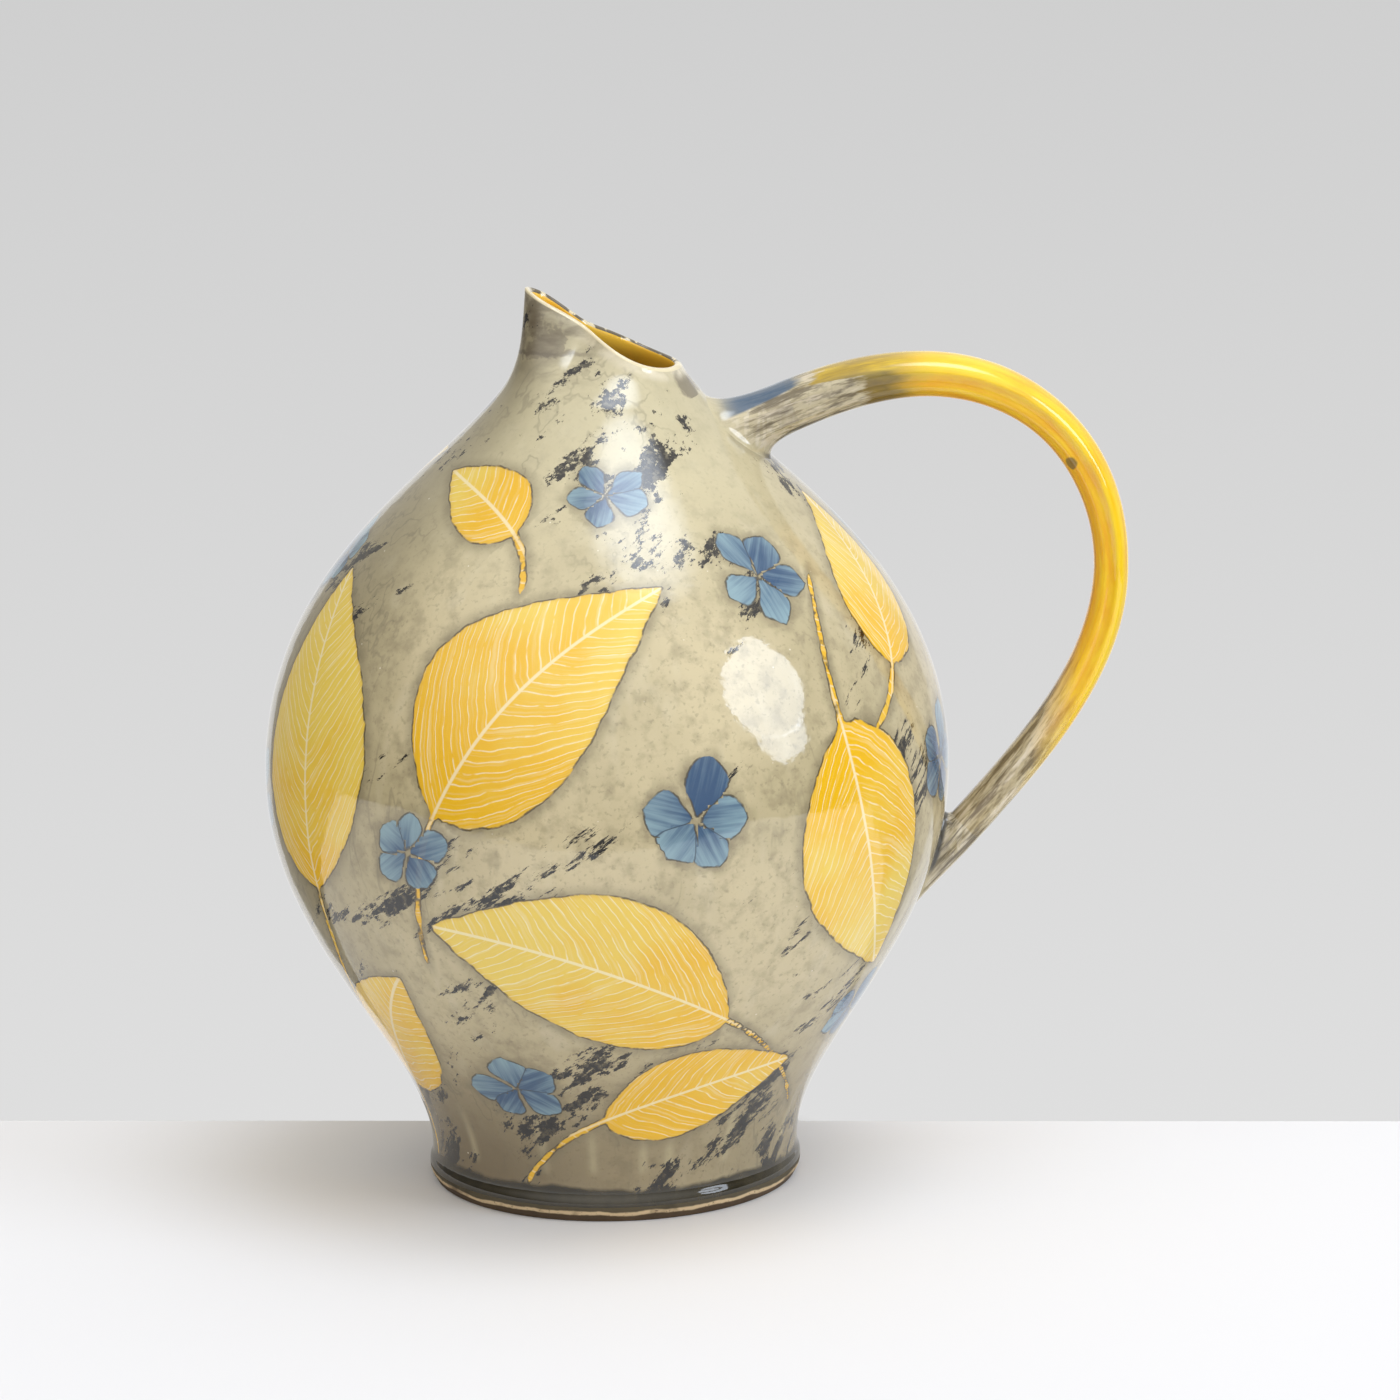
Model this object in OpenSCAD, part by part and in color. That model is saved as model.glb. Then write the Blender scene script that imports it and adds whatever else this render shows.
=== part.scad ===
// Glazed earthenware oil jug: a round thrown body on a turned foot ring, a pinched beak,
// a pulled handle luted on with two wads of clay, and a poured liner glaze inside.
// The jug stands on z = 0 with its axis on Z, the handle towards +X and the beak towards -X.

/* [Foot] */
// Diameter of the face that the jug stands on
foot_d = 115; // [95:1:135]
// Height of the foot ring
foot_h = 5; // [3:0.5:10]
// Width of the foot ring's standing face
foot_ring_w = 10; // [6:0.5:16]
// How far the foot ring spreads above its standing face
foot_spread = 1.5; // [0:0.25:4]

/* [Body] */
// How far the waist is drawn in above the foot ring
waist_in = 1; // [0:0.25:4]
// Height from the foot ring to the waist
waist_rise = 5; // [3:0.5:12]
// Diameter of the belly at its widest
belly_d = 215; // [180:1:240]
// Height from the waist to the widest line of the belly
bowl_h = 122; // [95:1:145]
// Height from the widest line to the neck joint
shoulder_h = 120; // [100:1:140]
// How far the bowl rises straight from the waist before it swells
bowl_spring = 34; // [15:1:45]
// How full the bowl is just below the widest line
bowl_fullness = 54; // [35:1:65]
// How full the shoulder is just above the widest line
shoulder_fullness = 64; // [40:1:75]
// Diameter of the body at the neck joint
neck_d = 63; // [54:1:76]
// Length of the sweep from the shoulder into the neck
neck_sweep = 35; // [20:1:45]
// Slope of the body at the neck joint, from level
neck_slope = 51; // [40:1:65]
// Thickness of the wall at the foot
wall_t = 6; // [4:0.25:9]
// Thickness of the wall at the neck joint
neck_wall_t = 4; // [3:0.25:6]
// Thickness of the floor
floor_t = 7; // [4:0.25:12]
// Radius of the cove between the floor and the wall
floor_cove = 12; // [5:1:20]

/* [Beak] */
// Height of the rim's low back above the neck joint
back_rise = 8.5; // [5:0.5:14]
// Height of the beak's tip above the neck joint
tip_rise = 33; // [22:0.5:45]
// Distance of the rim's back from the jug's axis
mouth_back = 26.5; // [22:0.5:29]
// Distance of the round mouth's widest line behind the jug's axis
mouth_offset = 11; // [8:0.5:14]
// Width of the round mouth over the rim
mouth_w = 37; // [32:0.5:46]
// Distance of the pinch in front of the jug's axis
pinch_reach = 5.5; // [3:0.5:8]
// Width over the rim at the pinch
pinch_w = 10.5; // [9:0.5:16]
// Distance of the beak's widest line in front of the jug's axis
beak_reach = 16; // [12:0.5:16.5]
// Width of the beak over the rim
beak_w = 18; // [14:0.5:22]
// Distance of the beak's tip in front of the jug's axis
tip_reach = 22.5; // [22:0.5:27]
// How early the rim climbs from its back towards the tip
swoop = 1; // [0.5:0.05:1.5]
// Inward lean of the neck at the rim's back
back_lean = 28; // [15:1:40]
// Inward lean of the beak at its tip
tip_lean = 5; // [0:1:15]
// Thickness of the rim
rim_t = 2.8; // [2:0.1:3.6]

/* [Handle] */
// Depth of the upper root's centre below the neck joint
upper_root_drop = 12; // [7:0.5:20]
// Upward slope of the handle as it leaves the upper root
upper_slope = 22; // [0:1:35]
// Height of the crest above the upper root's centre
crest_rise = 15.5; // [8:0.5:30]
// Distance of the crest from the jug's axis
crest_x = 100; // [90:1:115]
// Clear width between the belly's widest line and the handle
grip_gap = 46; // [35:1:65]
// Depth of the handle's outermost point below the crest
far_drop = 61; // [45:1:75]
// How square the handle's turn is, 0.55 for a round one
turn_square = 0.58; // [0.45:0.01:0.7]
// How straight the handle runs down from its outermost point
fall_spring = 31; // [15:1:45]
// How straight the handle runs into its lower root
tail_spring = 37; // [15:1:50]
// Slope of the handle at the lower root, from level
tail_slope = 48; // [35:1:60]
// Depth of the lower root's centre below the belly's widest line
lower_root_drop = 34; // [25:1:50]
// Thickness of the handle in its own plane at the upper end
upper_t = 16; // [12:0.25:18]
// Thickness of the handle at the crest
crest_t = 14; // [10:0.25:16]
// Thickness of the handle at its outermost point
far_t = 11; // [8:0.25:14]
// Thickness of the handle at the lower end
tail_t = 11.5; // [9:0.25:15]
// Width of the handle across its plane at the upper end
upper_w = 18; // [14:0.25:22]
// Width of the handle across its plane at the lower end
tail_w = 14; // [10:0.25:18]
// Height of the soft ridges along the handle's corners
ridge_h = 0.4; // [0:0.05:0.8]

/* [Joints] */
// Length of the upper wad along the handle
upper_wad_l = 19; // [14:0.5:26]
// Height of the upper wad's seat on the body
upper_seat_h = 22.5; // [16:0.5:26]
// Width of the upper wad's seat on the body
upper_seat_w = 30; // [22:0.5:40]
// Length of the lower wad along the handle
lower_wad_l = 18; // [14:0.5:24]
// Height of the lower wad's seat on the body
lower_seat_h = 38; // [32:0.5:46]
// Width of the lower wad's seat on the body
lower_seat_w = 20; // [16:0.5:30]

/* [Glaze] */
// Thickness of the liner glaze inside the jug
liner_t = 0.6; // [0.4:0.05:1]

/* [Hidden] */
$fn = 180;

// Counts of steps up the foot, along the profile, round the cove, up and around the beak,
// along and around the handle and along a wad
foot_steps = 6;
profile_steps = 28;
cove_steps = 8;
beak_rises = 9;
beak_steps = 9;
handle_steps = 16;
handle_sides = 32;
wad_steps = 8;

// Heights and radii of the body, from the foot up
foot_r = foot_d / 2;
spread_r = foot_r + foot_spread;
waist_r = spread_r - waist_in;
waist_z = foot_h + waist_rise;
belly_r = belly_d / 2;
belly_z = waist_z + bowl_h;
neck_r = neck_d / 2;
neck_z = belly_z + shoulder_h;
floor_z = foot_h + floor_t;
cove_z = floor_z + floor_cove;

// A point on a cubic curve, given as [start, pull of the start, pull of the end, end], and its direction there
function curve(s, t) = let (u = 1 - t)
    u * u * u * s[0] + 3 * u * u * t * s[1] + 3 * u * t * t * s[2] + t * t * t * s[3];
function curve_dir(s, t) = let (u = 1 - t)
    u * u * (s[1] - s[0]) + 2 * u * t * (s[2] - s[1]) + t * t * (s[3] - s[2]);

// The body's outer profile as [radius, height] curves: the foot's waist, the bowl and the shoulder
profile_curves = [
    [[spread_r, foot_h], [spread_r, foot_h + waist_rise / 2],
     [waist_r, waist_z - waist_rise / 2], [waist_r, waist_z]],
    [[waist_r, waist_z], [waist_r, waist_z + bowl_spring],
     [belly_r, belly_z - bowl_fullness], [belly_r, belly_z]],
    [[belly_r, belly_z], [belly_r, belly_z + shoulder_fullness],
     [neck_r + neck_sweep * cos(neck_slope), neck_z - neck_sweep * sin(neck_slope)], [neck_r, neck_z]]
];

// Wall thickness at a height, tapering evenly from the foot to the neck joint
function wall_at(z) = wall_t + (neck_wall_t - wall_t) * (z - foot_h) / (neck_z - foot_h);

// The profile moved into the wall by the share w of its thickness and then by a depth d
function profile_point(s, t, w, d) = let (p = curve(s, t), v = curve_dir(s, t))
    [p[0] - (w * wall_at(p[1]) + d) * norm(v) / v[1], p[1]];
function profile(w, d) = concat(
    [for (s = profile_curves, i = [0 : profile_steps - 1]) profile_point(s, i / profile_steps, w, d)],
    [profile_point(profile_curves[2], 1, w, d)]);

outer_profile = profile(0, 0);
inner_profile = profile(1, 0);
liner_profile = profile(1, liner_t);

// Radius of a profile at a height
function radius_at(path, z) = lookup(z, [for (p = path) [p[1], p[0]]]);

// The cavity's outline from the floor's centre, round the cove and up a wall's profile to the neck joint
cove_step = 1;
function cavity(path, floor_at, cove) = let (wall_r = radius_at(path, cove_z)) concat(
    [[0, floor_at]],
    [for (i = [0 : cove_steps]) let (a = 90 * i / cove_steps)
        [wall_r - cove + cove * sin(a), cove_z - cove * cos(a)]],
    [for (p = path) if (p[1] > cove_z + cove_step) p]);

function reversed(list) = [for (i = [len(list) - 1 : -1 : 0]) list[i]];

// Triangles of the side of a loft between rings of n points, turned over if flip is set
function side_faces(first, rings, n, flip = false) = [
    for (j = [0 : rings - 2], i = [0 : n - 1], half = [0, 1])
        let (a = first + j * n + i,
             b = first + j * n + (i + 1) % n,
             f = half == 0 ? [a, a + n, b] : [b, a + n, b + n])
        flip ? reversed(f) : f];

// Triangles that join ring a to ring b, both of n points
function ring_faces(a, b, n) = [
    for (i = [0 : n - 1], half = [0, 1]) let (k = (i + 1) % n)
        half == 0 ? [a + i, a + k, b + i] : [a + k, b + k, b + i]];

// A closed solid from a list of rings, each anticlockwise as seen from the next one, with a flat
// or shallow cap at each end
module loft(rings) {
    n = len(rings[0]);
    last = len(rings) - 1;
    top = (last + 1) * n;
    middle = function (ring) [for (p = ring) 1] * ring / n;
    polyhedron(
        concat([for (r = rings, p = r) p], [middle(rings[0]), middle(rings[last])]),
        concat(side_faces(0, last + 1, n),
               [for (i = [0 : n - 1]) [top, i, (i + 1) % n]],
               [for (i = [0 : n - 1]) [top + 1, last * n + (i + 1) % n, last * n + i]]));
}

// A closed wall between an outer and an inner list of rings
module loft_wall(outer, inner) {
    n = len(outer[0]);
    rings = len(outer);
    start = rings * n;
    polyhedron(
        concat([for (r = outer, p = r) p], [for (r = inner, p = r) p]),
        concat(side_faces(0, rings, n), side_faces(start, rings, n, true),
               ring_faces(0, start, n),
               ring_faces(start + (rings - 1) * n, (rings - 1) * n, n)));
}

// The rim's plan on one side: from its back round the mouth, into the pinch, out to the beak and to its tip
// The pulls are shares of the stretch that each curve crosses, and circle_pull makes a quarter of an ellipse
circle_pull = 0.5523;
mouth_pull = 0.55;
pinch_back_pull = 0.2;
pinch_front_pull = 0.35;
beak_pull = 0.3;
pinch_l = mouth_offset + pinch_reach;
flare_l = beak_reach - pinch_reach;
tip_l = tip_reach - beak_reach;
back_l = mouth_back - mouth_offset;
rim_curves = [
    [[mouth_back, 0], [mouth_back, circle_pull * mouth_w / 2],
     [mouth_offset + circle_pull * back_l, mouth_w / 2], [mouth_offset, mouth_w / 2]],
    [[mouth_offset, mouth_w / 2], [mouth_offset - mouth_pull * pinch_l, mouth_w / 2],
     [-pinch_reach + pinch_back_pull * pinch_l, pinch_w / 2], [-pinch_reach, pinch_w / 2]],
    [[-pinch_reach, pinch_w / 2], [-pinch_reach - pinch_front_pull * flare_l, pinch_w / 2],
     [-beak_reach + beak_pull * flare_l, beak_w / 2], [-beak_reach, beak_w / 2]],
    [[-beak_reach, beak_w / 2], [-beak_reach - circle_pull * tip_l, beak_w / 2],
     [-tip_reach, circle_pull * beak_w / 2], [-tip_reach, 0]]
];
rim_parts = len(rim_curves);

// The rim's height at a distance x from the axis, climbing slowly from the back and easing off at the tip
function rim_z(x) = let (s = max(0, mouth_back - x) / (mouth_back + tip_reach))
    neck_z + back_rise + (tip_rise - back_rise) * s * s * (1 + swoop * (1 - s));

// A rim point moved inwards by depth
function rim_point(s, t, depth) = let (p = curve(s, t), v = curve_dir(s, t) / norm(curve_dir(s, t)),
                                       x = p[0] - depth * v[1], y = p[1] + depth * v[0])
    [x, y, rim_z(x)];
function rim_side(depth) = [for (s = rim_curves, i = [0 : beak_steps - 1]) rim_point(s, i / beak_steps, depth)];
function rim(depth) = let (side = rim_side(depth), tip = rim_point(rim_curves[rim_parts - 1], 1, depth)) concat(
    side, [tip], [for (i = [len(side) - 1 : -1 : 1]) [side[i][0], -side[i][1], side[i][2]]]);

// Each rim point's place round the neck joint, in step with its distance along the rim from the back
rim_edge = rim(0);
rim_half = rim_parts * beak_steps;
rim_lengths = [for (i = 0, l = 0; i <= rim_half; l = l + norm(rim_edge[i + 1] - rim_edge[i]), i = i + 1) l];
rim_angles = [for (i = [0 : 2 * rim_half - 1])
    180 / rim_lengths[rim_half] * (i <= rim_half ? rim_lengths[i] : -rim_lengths[2 * rim_half - i])];

// A point on the beak's surface at angle a, from the neck joint at t = 0 to the rim point at t = 1.
// The pulls are shares of its rise over which it keeps to the body's slope and to the rim's lean
joint_pull = 0.28;
lip_pull = 0.4;
function beak_point(a, joint_r, rim_p, t) = let (
        rise = rim_p[2] - neck_z,
        foot = [joint_r * cos(a), joint_r * sin(a), neck_z],
        sweep = joint_pull * rise / sin(neck_slope),
        lean = tip_lean + (back_lean - tip_lean) * (1 + cos(a)) / 2,
        fall = lip_pull * rise / cos(lean))
    curve([foot,
           foot + sweep * [-cos(neck_slope) * cos(a), -cos(neck_slope) * sin(a), sin(neck_slope)],
           rim_p + fall * [sin(lean) * cos(a), sin(lean) * sin(a), -cos(lean)],
           rim_p], t);

// The beak's rings with the joint's radius and the depth of the rim below the outer surface
function beak_rings(joint_r, depth) = let (edge = rim(depth)) [
    for (j = [0 : beak_rises]) [
        for (i = [0 : len(edge) - 1]) beak_point(rim_angles[i], joint_r, edge[i], j / beak_rises)]];

neck_inner_r = inner_profile[len(inner_profile) - 1][0];
neck_liner_r = liner_profile[len(liner_profile) - 1][0];

// The roots of the handle on the body and the ends of the handle, as [distance from the axis, height]
upper_root_z = neck_z - upper_root_drop;
lower_root_z = belly_z - lower_root_drop;
upper_root = [radius_at(outer_profile, upper_root_z), upper_root_z];
lower_root = [radius_at(outer_profile, lower_root_z), lower_root_z];
upper_dir = [cos(upper_slope), sin(upper_slope)];
lower_dir = [cos(tail_slope), sin(tail_slope)];
upper_end = upper_root + upper_wad_l * upper_dir;
lower_end = lower_root + lower_wad_l * lower_dir;
crest = [crest_x, upper_root_z + crest_rise];
far = [belly_r + grip_gap + far_t / 2, upper_root_z + crest_rise - far_drop];
lead_share = 1 / 3;
lead_l = lead_share * norm(crest - upper_end);

// The handle's centre line: from the upper end to the crest, round to the far point and down to the lower end
handle_curves = [
    [upper_end, upper_end + lead_l * upper_dir, crest - [lead_l, 0], crest],
    [crest, [crest[0] + turn_square * (far[0] - crest[0]), crest[1]],
     [far[0], far[1] + turn_square * (crest[1] - far[1])], far],
    [far, far - [0, fall_spring], lower_end + tail_spring * lower_dir, lower_end]
];

// The handle's thickness and width along its three curves, at u from 0 to 3
function handle_t(u) = lookup(u, [[0, upper_t], [1, crest_t], [2, far_t], [3, tail_t]]);
function handle_w(u) = lookup(u, [[0, upper_w], [3, tail_w]]);

// One section of the handle, a soft-cornered oval with a ridge on each corner, as [outwards in its plane,
// across it]. A corner_softness of 1 makes a plain oval
corner_softness = 0.9;
corners = 4;
function oval(c) = sign(c) * pow(abs(c), corner_softness);
function section(u) = [for (i = [0 : handle_sides - 1]) let (a = 360 * i / handle_sides)
    [(handle_t(u) / 2 + ridge_h / 2 * (1 - cos(corners * a))) * oval(cos(a)),
     (handle_w(u) / 2 + ridge_h / 2 * (1 - cos(corners * a))) * oval(sin(a))]];

// The section at u placed on the centre line, its first point outside the loop
function handle_ring(u) = let (
        k = min(2, floor(u)), c = curve(handle_curves[k], u - k),
        v = curve_dir(handle_curves[k], u - k), d = v / norm(v))
    [for (q = section(u)) [c[0] - d[1] * q[0], q[1], c[1] + d[0] * q[0]]];

// A point on the body's outer surface at a distance y from the handle's plane
function on_body(y, z) = let (r = radius_at(outer_profile, z)) [sqrt(r * r - y * y), y, z];

// A wad's rings from its face on the handle to its flared seat, sunk a little so that the body trims it.
// along is the direction into the body, and up is 1 where the handle's outside lies on top, or -1.
// The flare starts at seat_inner of the seat's size, and wad_pull is its share of the way to the handle
wad_sink = 1.2;
seat_inner = 0.6;
wad_pull = 0.45;
function wad_rings(face, along, root_z, seat_h, seat_w, up) = [
    for (j = [0 : wad_steps]) [
        for (i = [0 : handle_sides - 1])
            let (a = 360 * i / handle_sides,
                 y = seat_w / 2 * sin(a), z = up * seat_h / 2 * cos(a),
                 seat = on_body(y, root_z + z),
                 inside = [wad_sink * seat[0], wad_sink * seat[1], 0] / norm([seat[0], seat[1]]),
                 edge = seat - inside,
                 inner = on_body(seat_inner * y, root_z + seat_inner * z),
                 reach = wad_pull * norm(edge - face[i]))
            curve([face[i], face[i] + reach * along,
                   edge + (inner - edge) * min(1, reach / norm(inner - edge)), edge], j / wad_steps)]];

module foot_ring() {
    color("#b98a5e")
    rotate_extrude() polygon(concat(
        [[foot_r - foot_ring_w, 0], [foot_r, 0]],
        [for (i = [1 : foot_steps]) curve([[foot_r, 0], [foot_r + foot_spread / 2, foot_h / 4],
                                           [spread_r, foot_h / 2], [spread_r, foot_h]], i / foot_steps)],
        [[foot_r - foot_ring_w, foot_h]]));
}

// The body and the neck as solids out to their outer surfaces, which trim the wads
module body_solid() {
    rotate_extrude() polygon(concat([[0, foot_h]], outer_profile, [[0, neck_z]]));
    loft(beak_rings(neck_r, 0));
}

module thrown_body() {
    color("#a09a80")
    rotate_extrude() polygon(concat(
        [[0, foot_h]], outer_profile, reversed(cavity(inner_profile, floor_z, floor_cove))));
}

module beak_neck() {
    color("#8f8a78")
    loft_wall(beak_rings(neck_r, 0), beak_rings(neck_inner_r, rim_t));
}

// The liner glaze's coat inside the body
module body_liner() {
    color("#e3a82b")
    rotate_extrude() polygon(concat(
        cavity(inner_profile, floor_z, floor_cove),
        reversed(cavity(liner_profile, floor_z + liner_t, floor_cove - liner_t))));
}

// The liner glaze's coat inside the neck and the beak, up to the rim
module beak_liner() {
    color("#e3a82b")
    loft_wall(beak_rings(neck_inner_r, rim_t), beak_rings(neck_liner_r, rim_t + liner_t));
}

module pulled_handle() {
    color("#e8bb2e")
    loft([for (i = [3 * handle_steps : -1 : 0]) handle_ring(i / handle_steps)]);
}

module upper_handle_wad() {
    color("#8f8a78")
    difference() {
        loft(wad_rings(handle_ring(0), [-upper_dir[0], 0, -upper_dir[1]],
                       upper_root_z, upper_seat_h, upper_seat_w, 1));
        body_solid();
    }
}

module lower_handle_wad() {
    color("#8f8a78")
    difference() {
        loft(reversed(wad_rings(handle_ring(3), [-lower_dir[0], 0, -lower_dir[1]],
                                lower_root_z, lower_seat_h, lower_seat_w, -1)));
        body_solid();
    }
}

foot_ring();
thrown_body();
beak_neck();
body_liner();
beak_liner();
pulled_handle();
upper_handle_wad();
lower_handle_wad();
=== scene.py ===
# %% [markdown]
# # A glazed oil jug
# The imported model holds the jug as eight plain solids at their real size. This lesson lays a smooth
# surface over each solid, paints and glazes it with nodes, and sets the jug on a white board under
# studio light. Every surface follows the few curves that the solids were drawn from, to within about
# a millimetre, so it lies where its solid lies.

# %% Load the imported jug
from functools import partial

import bpy
import numpy as np
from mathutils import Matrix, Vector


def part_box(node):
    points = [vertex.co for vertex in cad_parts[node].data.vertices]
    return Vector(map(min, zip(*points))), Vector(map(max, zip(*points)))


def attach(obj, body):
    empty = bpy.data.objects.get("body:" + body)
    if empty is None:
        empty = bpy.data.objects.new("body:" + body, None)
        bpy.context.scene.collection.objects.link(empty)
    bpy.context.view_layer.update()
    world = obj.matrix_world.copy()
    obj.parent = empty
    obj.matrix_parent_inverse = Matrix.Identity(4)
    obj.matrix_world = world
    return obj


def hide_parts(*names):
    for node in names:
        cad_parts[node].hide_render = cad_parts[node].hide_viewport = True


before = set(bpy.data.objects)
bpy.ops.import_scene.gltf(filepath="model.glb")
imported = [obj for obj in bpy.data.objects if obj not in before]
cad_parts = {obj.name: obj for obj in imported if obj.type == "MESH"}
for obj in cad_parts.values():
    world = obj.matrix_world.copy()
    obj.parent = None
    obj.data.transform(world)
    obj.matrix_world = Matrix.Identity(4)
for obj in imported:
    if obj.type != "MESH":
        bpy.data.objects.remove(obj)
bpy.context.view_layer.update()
MM = 0.001

# %% [markdown]
# ## Curves
# A potter's outline is a few long curves that run into each other. A cubic curve needs only its two
# ends and two pulls, so each stretch of the jug is four points. Working out all the points of a
# curve as one array keeps the script short and quick.

# %% Points along curves


def cubic(points, t):
    """Points of a cubic curve: its four points weighted by (1-t)^3, 3t(1-t)^2, 3t^2(1-t) and t^3."""
    t = np.asarray(t, float)[..., None]
    start, start_pull, end_pull, end = (np.asarray(p, float) for p in points)
    return ((1 - t) ** 3 * start + 3 * t * (1 - t) ** 2 * start_pull
            + 3 * t ** 2 * (1 - t) * end_pull + t ** 3 * end)


def chain(curves, steps):
    """Points along cubic curves that follow each other, each in its own number of even steps of t."""
    parts = [cubic(c, np.linspace(0, 1, n, endpoint=False)) for c, n in zip(curves, steps)]
    return np.concatenate(parts + [np.array([curves[-1][3]], float)])


def ease(value, low, high):
    """0 below low, 1 above high, and 3s^2 - 2s^3 of the share s of the way between them."""
    s = np.clip((value - low) / (high - low), 0, 1)
    return s * s * (3 - 2 * s)


print("curve test, half way along a straight cubic:", cubic([[0], [1], [2], [3]], 0.5))

# %% [markdown]
# ## From a grid of points to a mesh
# All pieces are grids: columns run round the piece and rows run along it. Blender could smooth the
# shading itself, but it averages over sharp edges and leaves a visible seam where two pieces run
# into each other. So the normals are worked out from the grid, between the rows where the surface
# turns a corner, and handed to the mesh.

# %% Grids, normals and meshes


def grid_normals(grid):
    """Unit normals of a grid that closes round its columns: the slope along a row crossed with the
    slope along a column. A row that shrinks to one point takes the mean of the row beside it."""
    around = np.roll(grid, -1, 1) - np.roll(grid, 1, 1)
    along = np.gradient(grid, axis=0, edge_order=2 if len(grid) > 2 else 1)
    normal = np.cross(around, along)
    length = np.linalg.norm(normal, axis=-1, keepdims=True)
    normal = normal / np.maximum(length, 1e-30)
    for pole, beside in ((0, 1), (-1, -2)):
        if length[pole].max() < 1e-12:
            normal[pole] = normal[beside].mean(0) / np.linalg.norm(normal[beside].mean(0))
    return normal


def skin(name, grid, edges=(), ring=False):
    """A mesh object from a grid: each point joins the next one in its row and in its column.

    The columns close round. With ring the last row joins the first, and otherwise the first and
    the last row are single points. The shading turns sharply at the rows listed in edges."""
    rows, columns = grid.shape[:2]
    index = np.arange(rows * columns).reshape(rows, columns)
    if ring:
        index, grid = np.vstack([index, index[:1]]), np.vstack([grid, grid[:1]])
    else:
        index[0], index[-1] = index[0, 0], index[-1, 0]
    low, high = np.empty((2, len(grid) - 1, columns, 3))
    stops = [0, *edges, len(grid) - 1]
    for start, stop in zip(stops[:-1], stops[1:]):
        normal = grid_normals(grid[start:stop + 1])
        low[start:stop], high[start:stop] = normal[:-1], normal[1:]
    beside = np.roll(index, -1, 1)
    quads = np.stack([index[:-1], beside[:-1], beside[1:], index[1:]], -1)
    normals = np.stack([low, np.roll(low, -1, 1), np.roll(high, -1, 1), high], -2)
    points = grid[:rows].reshape(-1, 3)
    a, b, c, d = (points[quads[..., k]] for k in range(4))
    volume = np.sum(a * (np.cross(b, c) + np.cross(c, d))) / 6
    if volume < 0:
        quads, normals = quads[..., ::-1], -normals[..., ::-1, :]
    flat, flat_normals = quads.reshape(-1, 4), normals.reshape(-1, 4, 3)
    keep = flat != np.roll(flat, 1, 1)
    used, renumbered = np.unique(flat[keep], return_inverse=True)
    faces = np.split(renumbered, np.cumsum(keep.sum(1))[:-1])
    mesh = bpy.data.meshes.new(name)
    mesh.from_pydata(points[used], [], faces)
    mesh.polygons.foreach_set("use_smooth", np.ones(len(faces), bool))
    mesh.normals_split_custom_set(flat_normals[keep])
    piece = bpy.data.objects.new(name, mesh)
    bpy.context.collection.objects.link(piece)
    print(f"{name}: {len(used)} points, {len(faces)} faces, {abs(volume) / MM ** 3 / 1000:.1f} cm3")
    return piece


def turned(profile, columns):
    """A profile of radius and height turned about Z: x = r cos a, y = r sin a, z = height."""
    a = np.linspace(0, 2 * np.pi, columns, endpoint=False)
    r, z = profile[:, :1], profile[:, 1:]
    return np.stack([r * np.cos(a), r * np.sin(a), z + 0 * a], -1)


def stand_for(piece, node, slot, *materials):
    """Puts a piece in its solid's place: it rides on the jug, hides the solid and takes its finish."""
    for material in materials:
        piece.data.materials.append(material)
    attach(piece, "root")
    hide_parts(node)


def store(piece, name, kind, domain, values):
    """Writes an array of numbers or vectors to the mesh as a named attribute for the nodes to read."""
    layer = piece.data.attributes.new(name, kind, domain)
    layer.data.foreach_set("value" if kind == "FLOAT" else "vector", np.ravel(values).astype(np.float32))


print("helpers for grids are ready")

# %% [markdown]
# ## Colours and nodes
# Painters think in the colours that a screen shows, and the shader works in linear light, so every
# colour is written as a hex value and turned by one function. One more function adds a node, sets
# it and links it, which keeps each material readable from top to bottom.

# %% Colour and node helpers


def linear(hex_value):
    """An sRGB hex colour as linear red, green, blue and an alpha of 1."""
    share = np.array([int(hex_value[i:i + 2], 16) for i in (1, 3, 5)]) / 255
    light = np.where(share <= 0.04045, share / 12.92, ((share + 0.055) / 1.055) ** 2.4)
    return (*light.tolist(), 1.0)


def add(tree, kind, feeds=None, **settings):
    """Adds a shader node, sets its settings, and feeds its inputs with values or other outputs."""
    made = tree.nodes.new("ShaderNode" + kind)
    for key, value in settings.items():
        setattr(made, key, value)
    for socket, value in (feeds or {}).items():
        if isinstance(value, bpy.types.NodeSocket):
            tree.links.new(value, made.inputs[socket])
        else:
            made.inputs[socket].default_value = value
    return made.outputs


def start_material(name):
    """A new material with an empty node tree, and the function that adds nodes to it."""
    material = bpy.data.materials.new(name)
    material.use_nodes = True
    material.node_tree.nodes.clear()
    return material, partial(add, material.node_tree)


print("a mid grey in linear light:", [round(v, 3) for v in linear("#808080")])

# %% [markdown]
# ## The jug's sizes
# The foot, the belly and the neck joint are read from the solids. The pulls, slopes and thicknesses
# can't be read from a mesh, so they are given here in millimetres.

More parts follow.
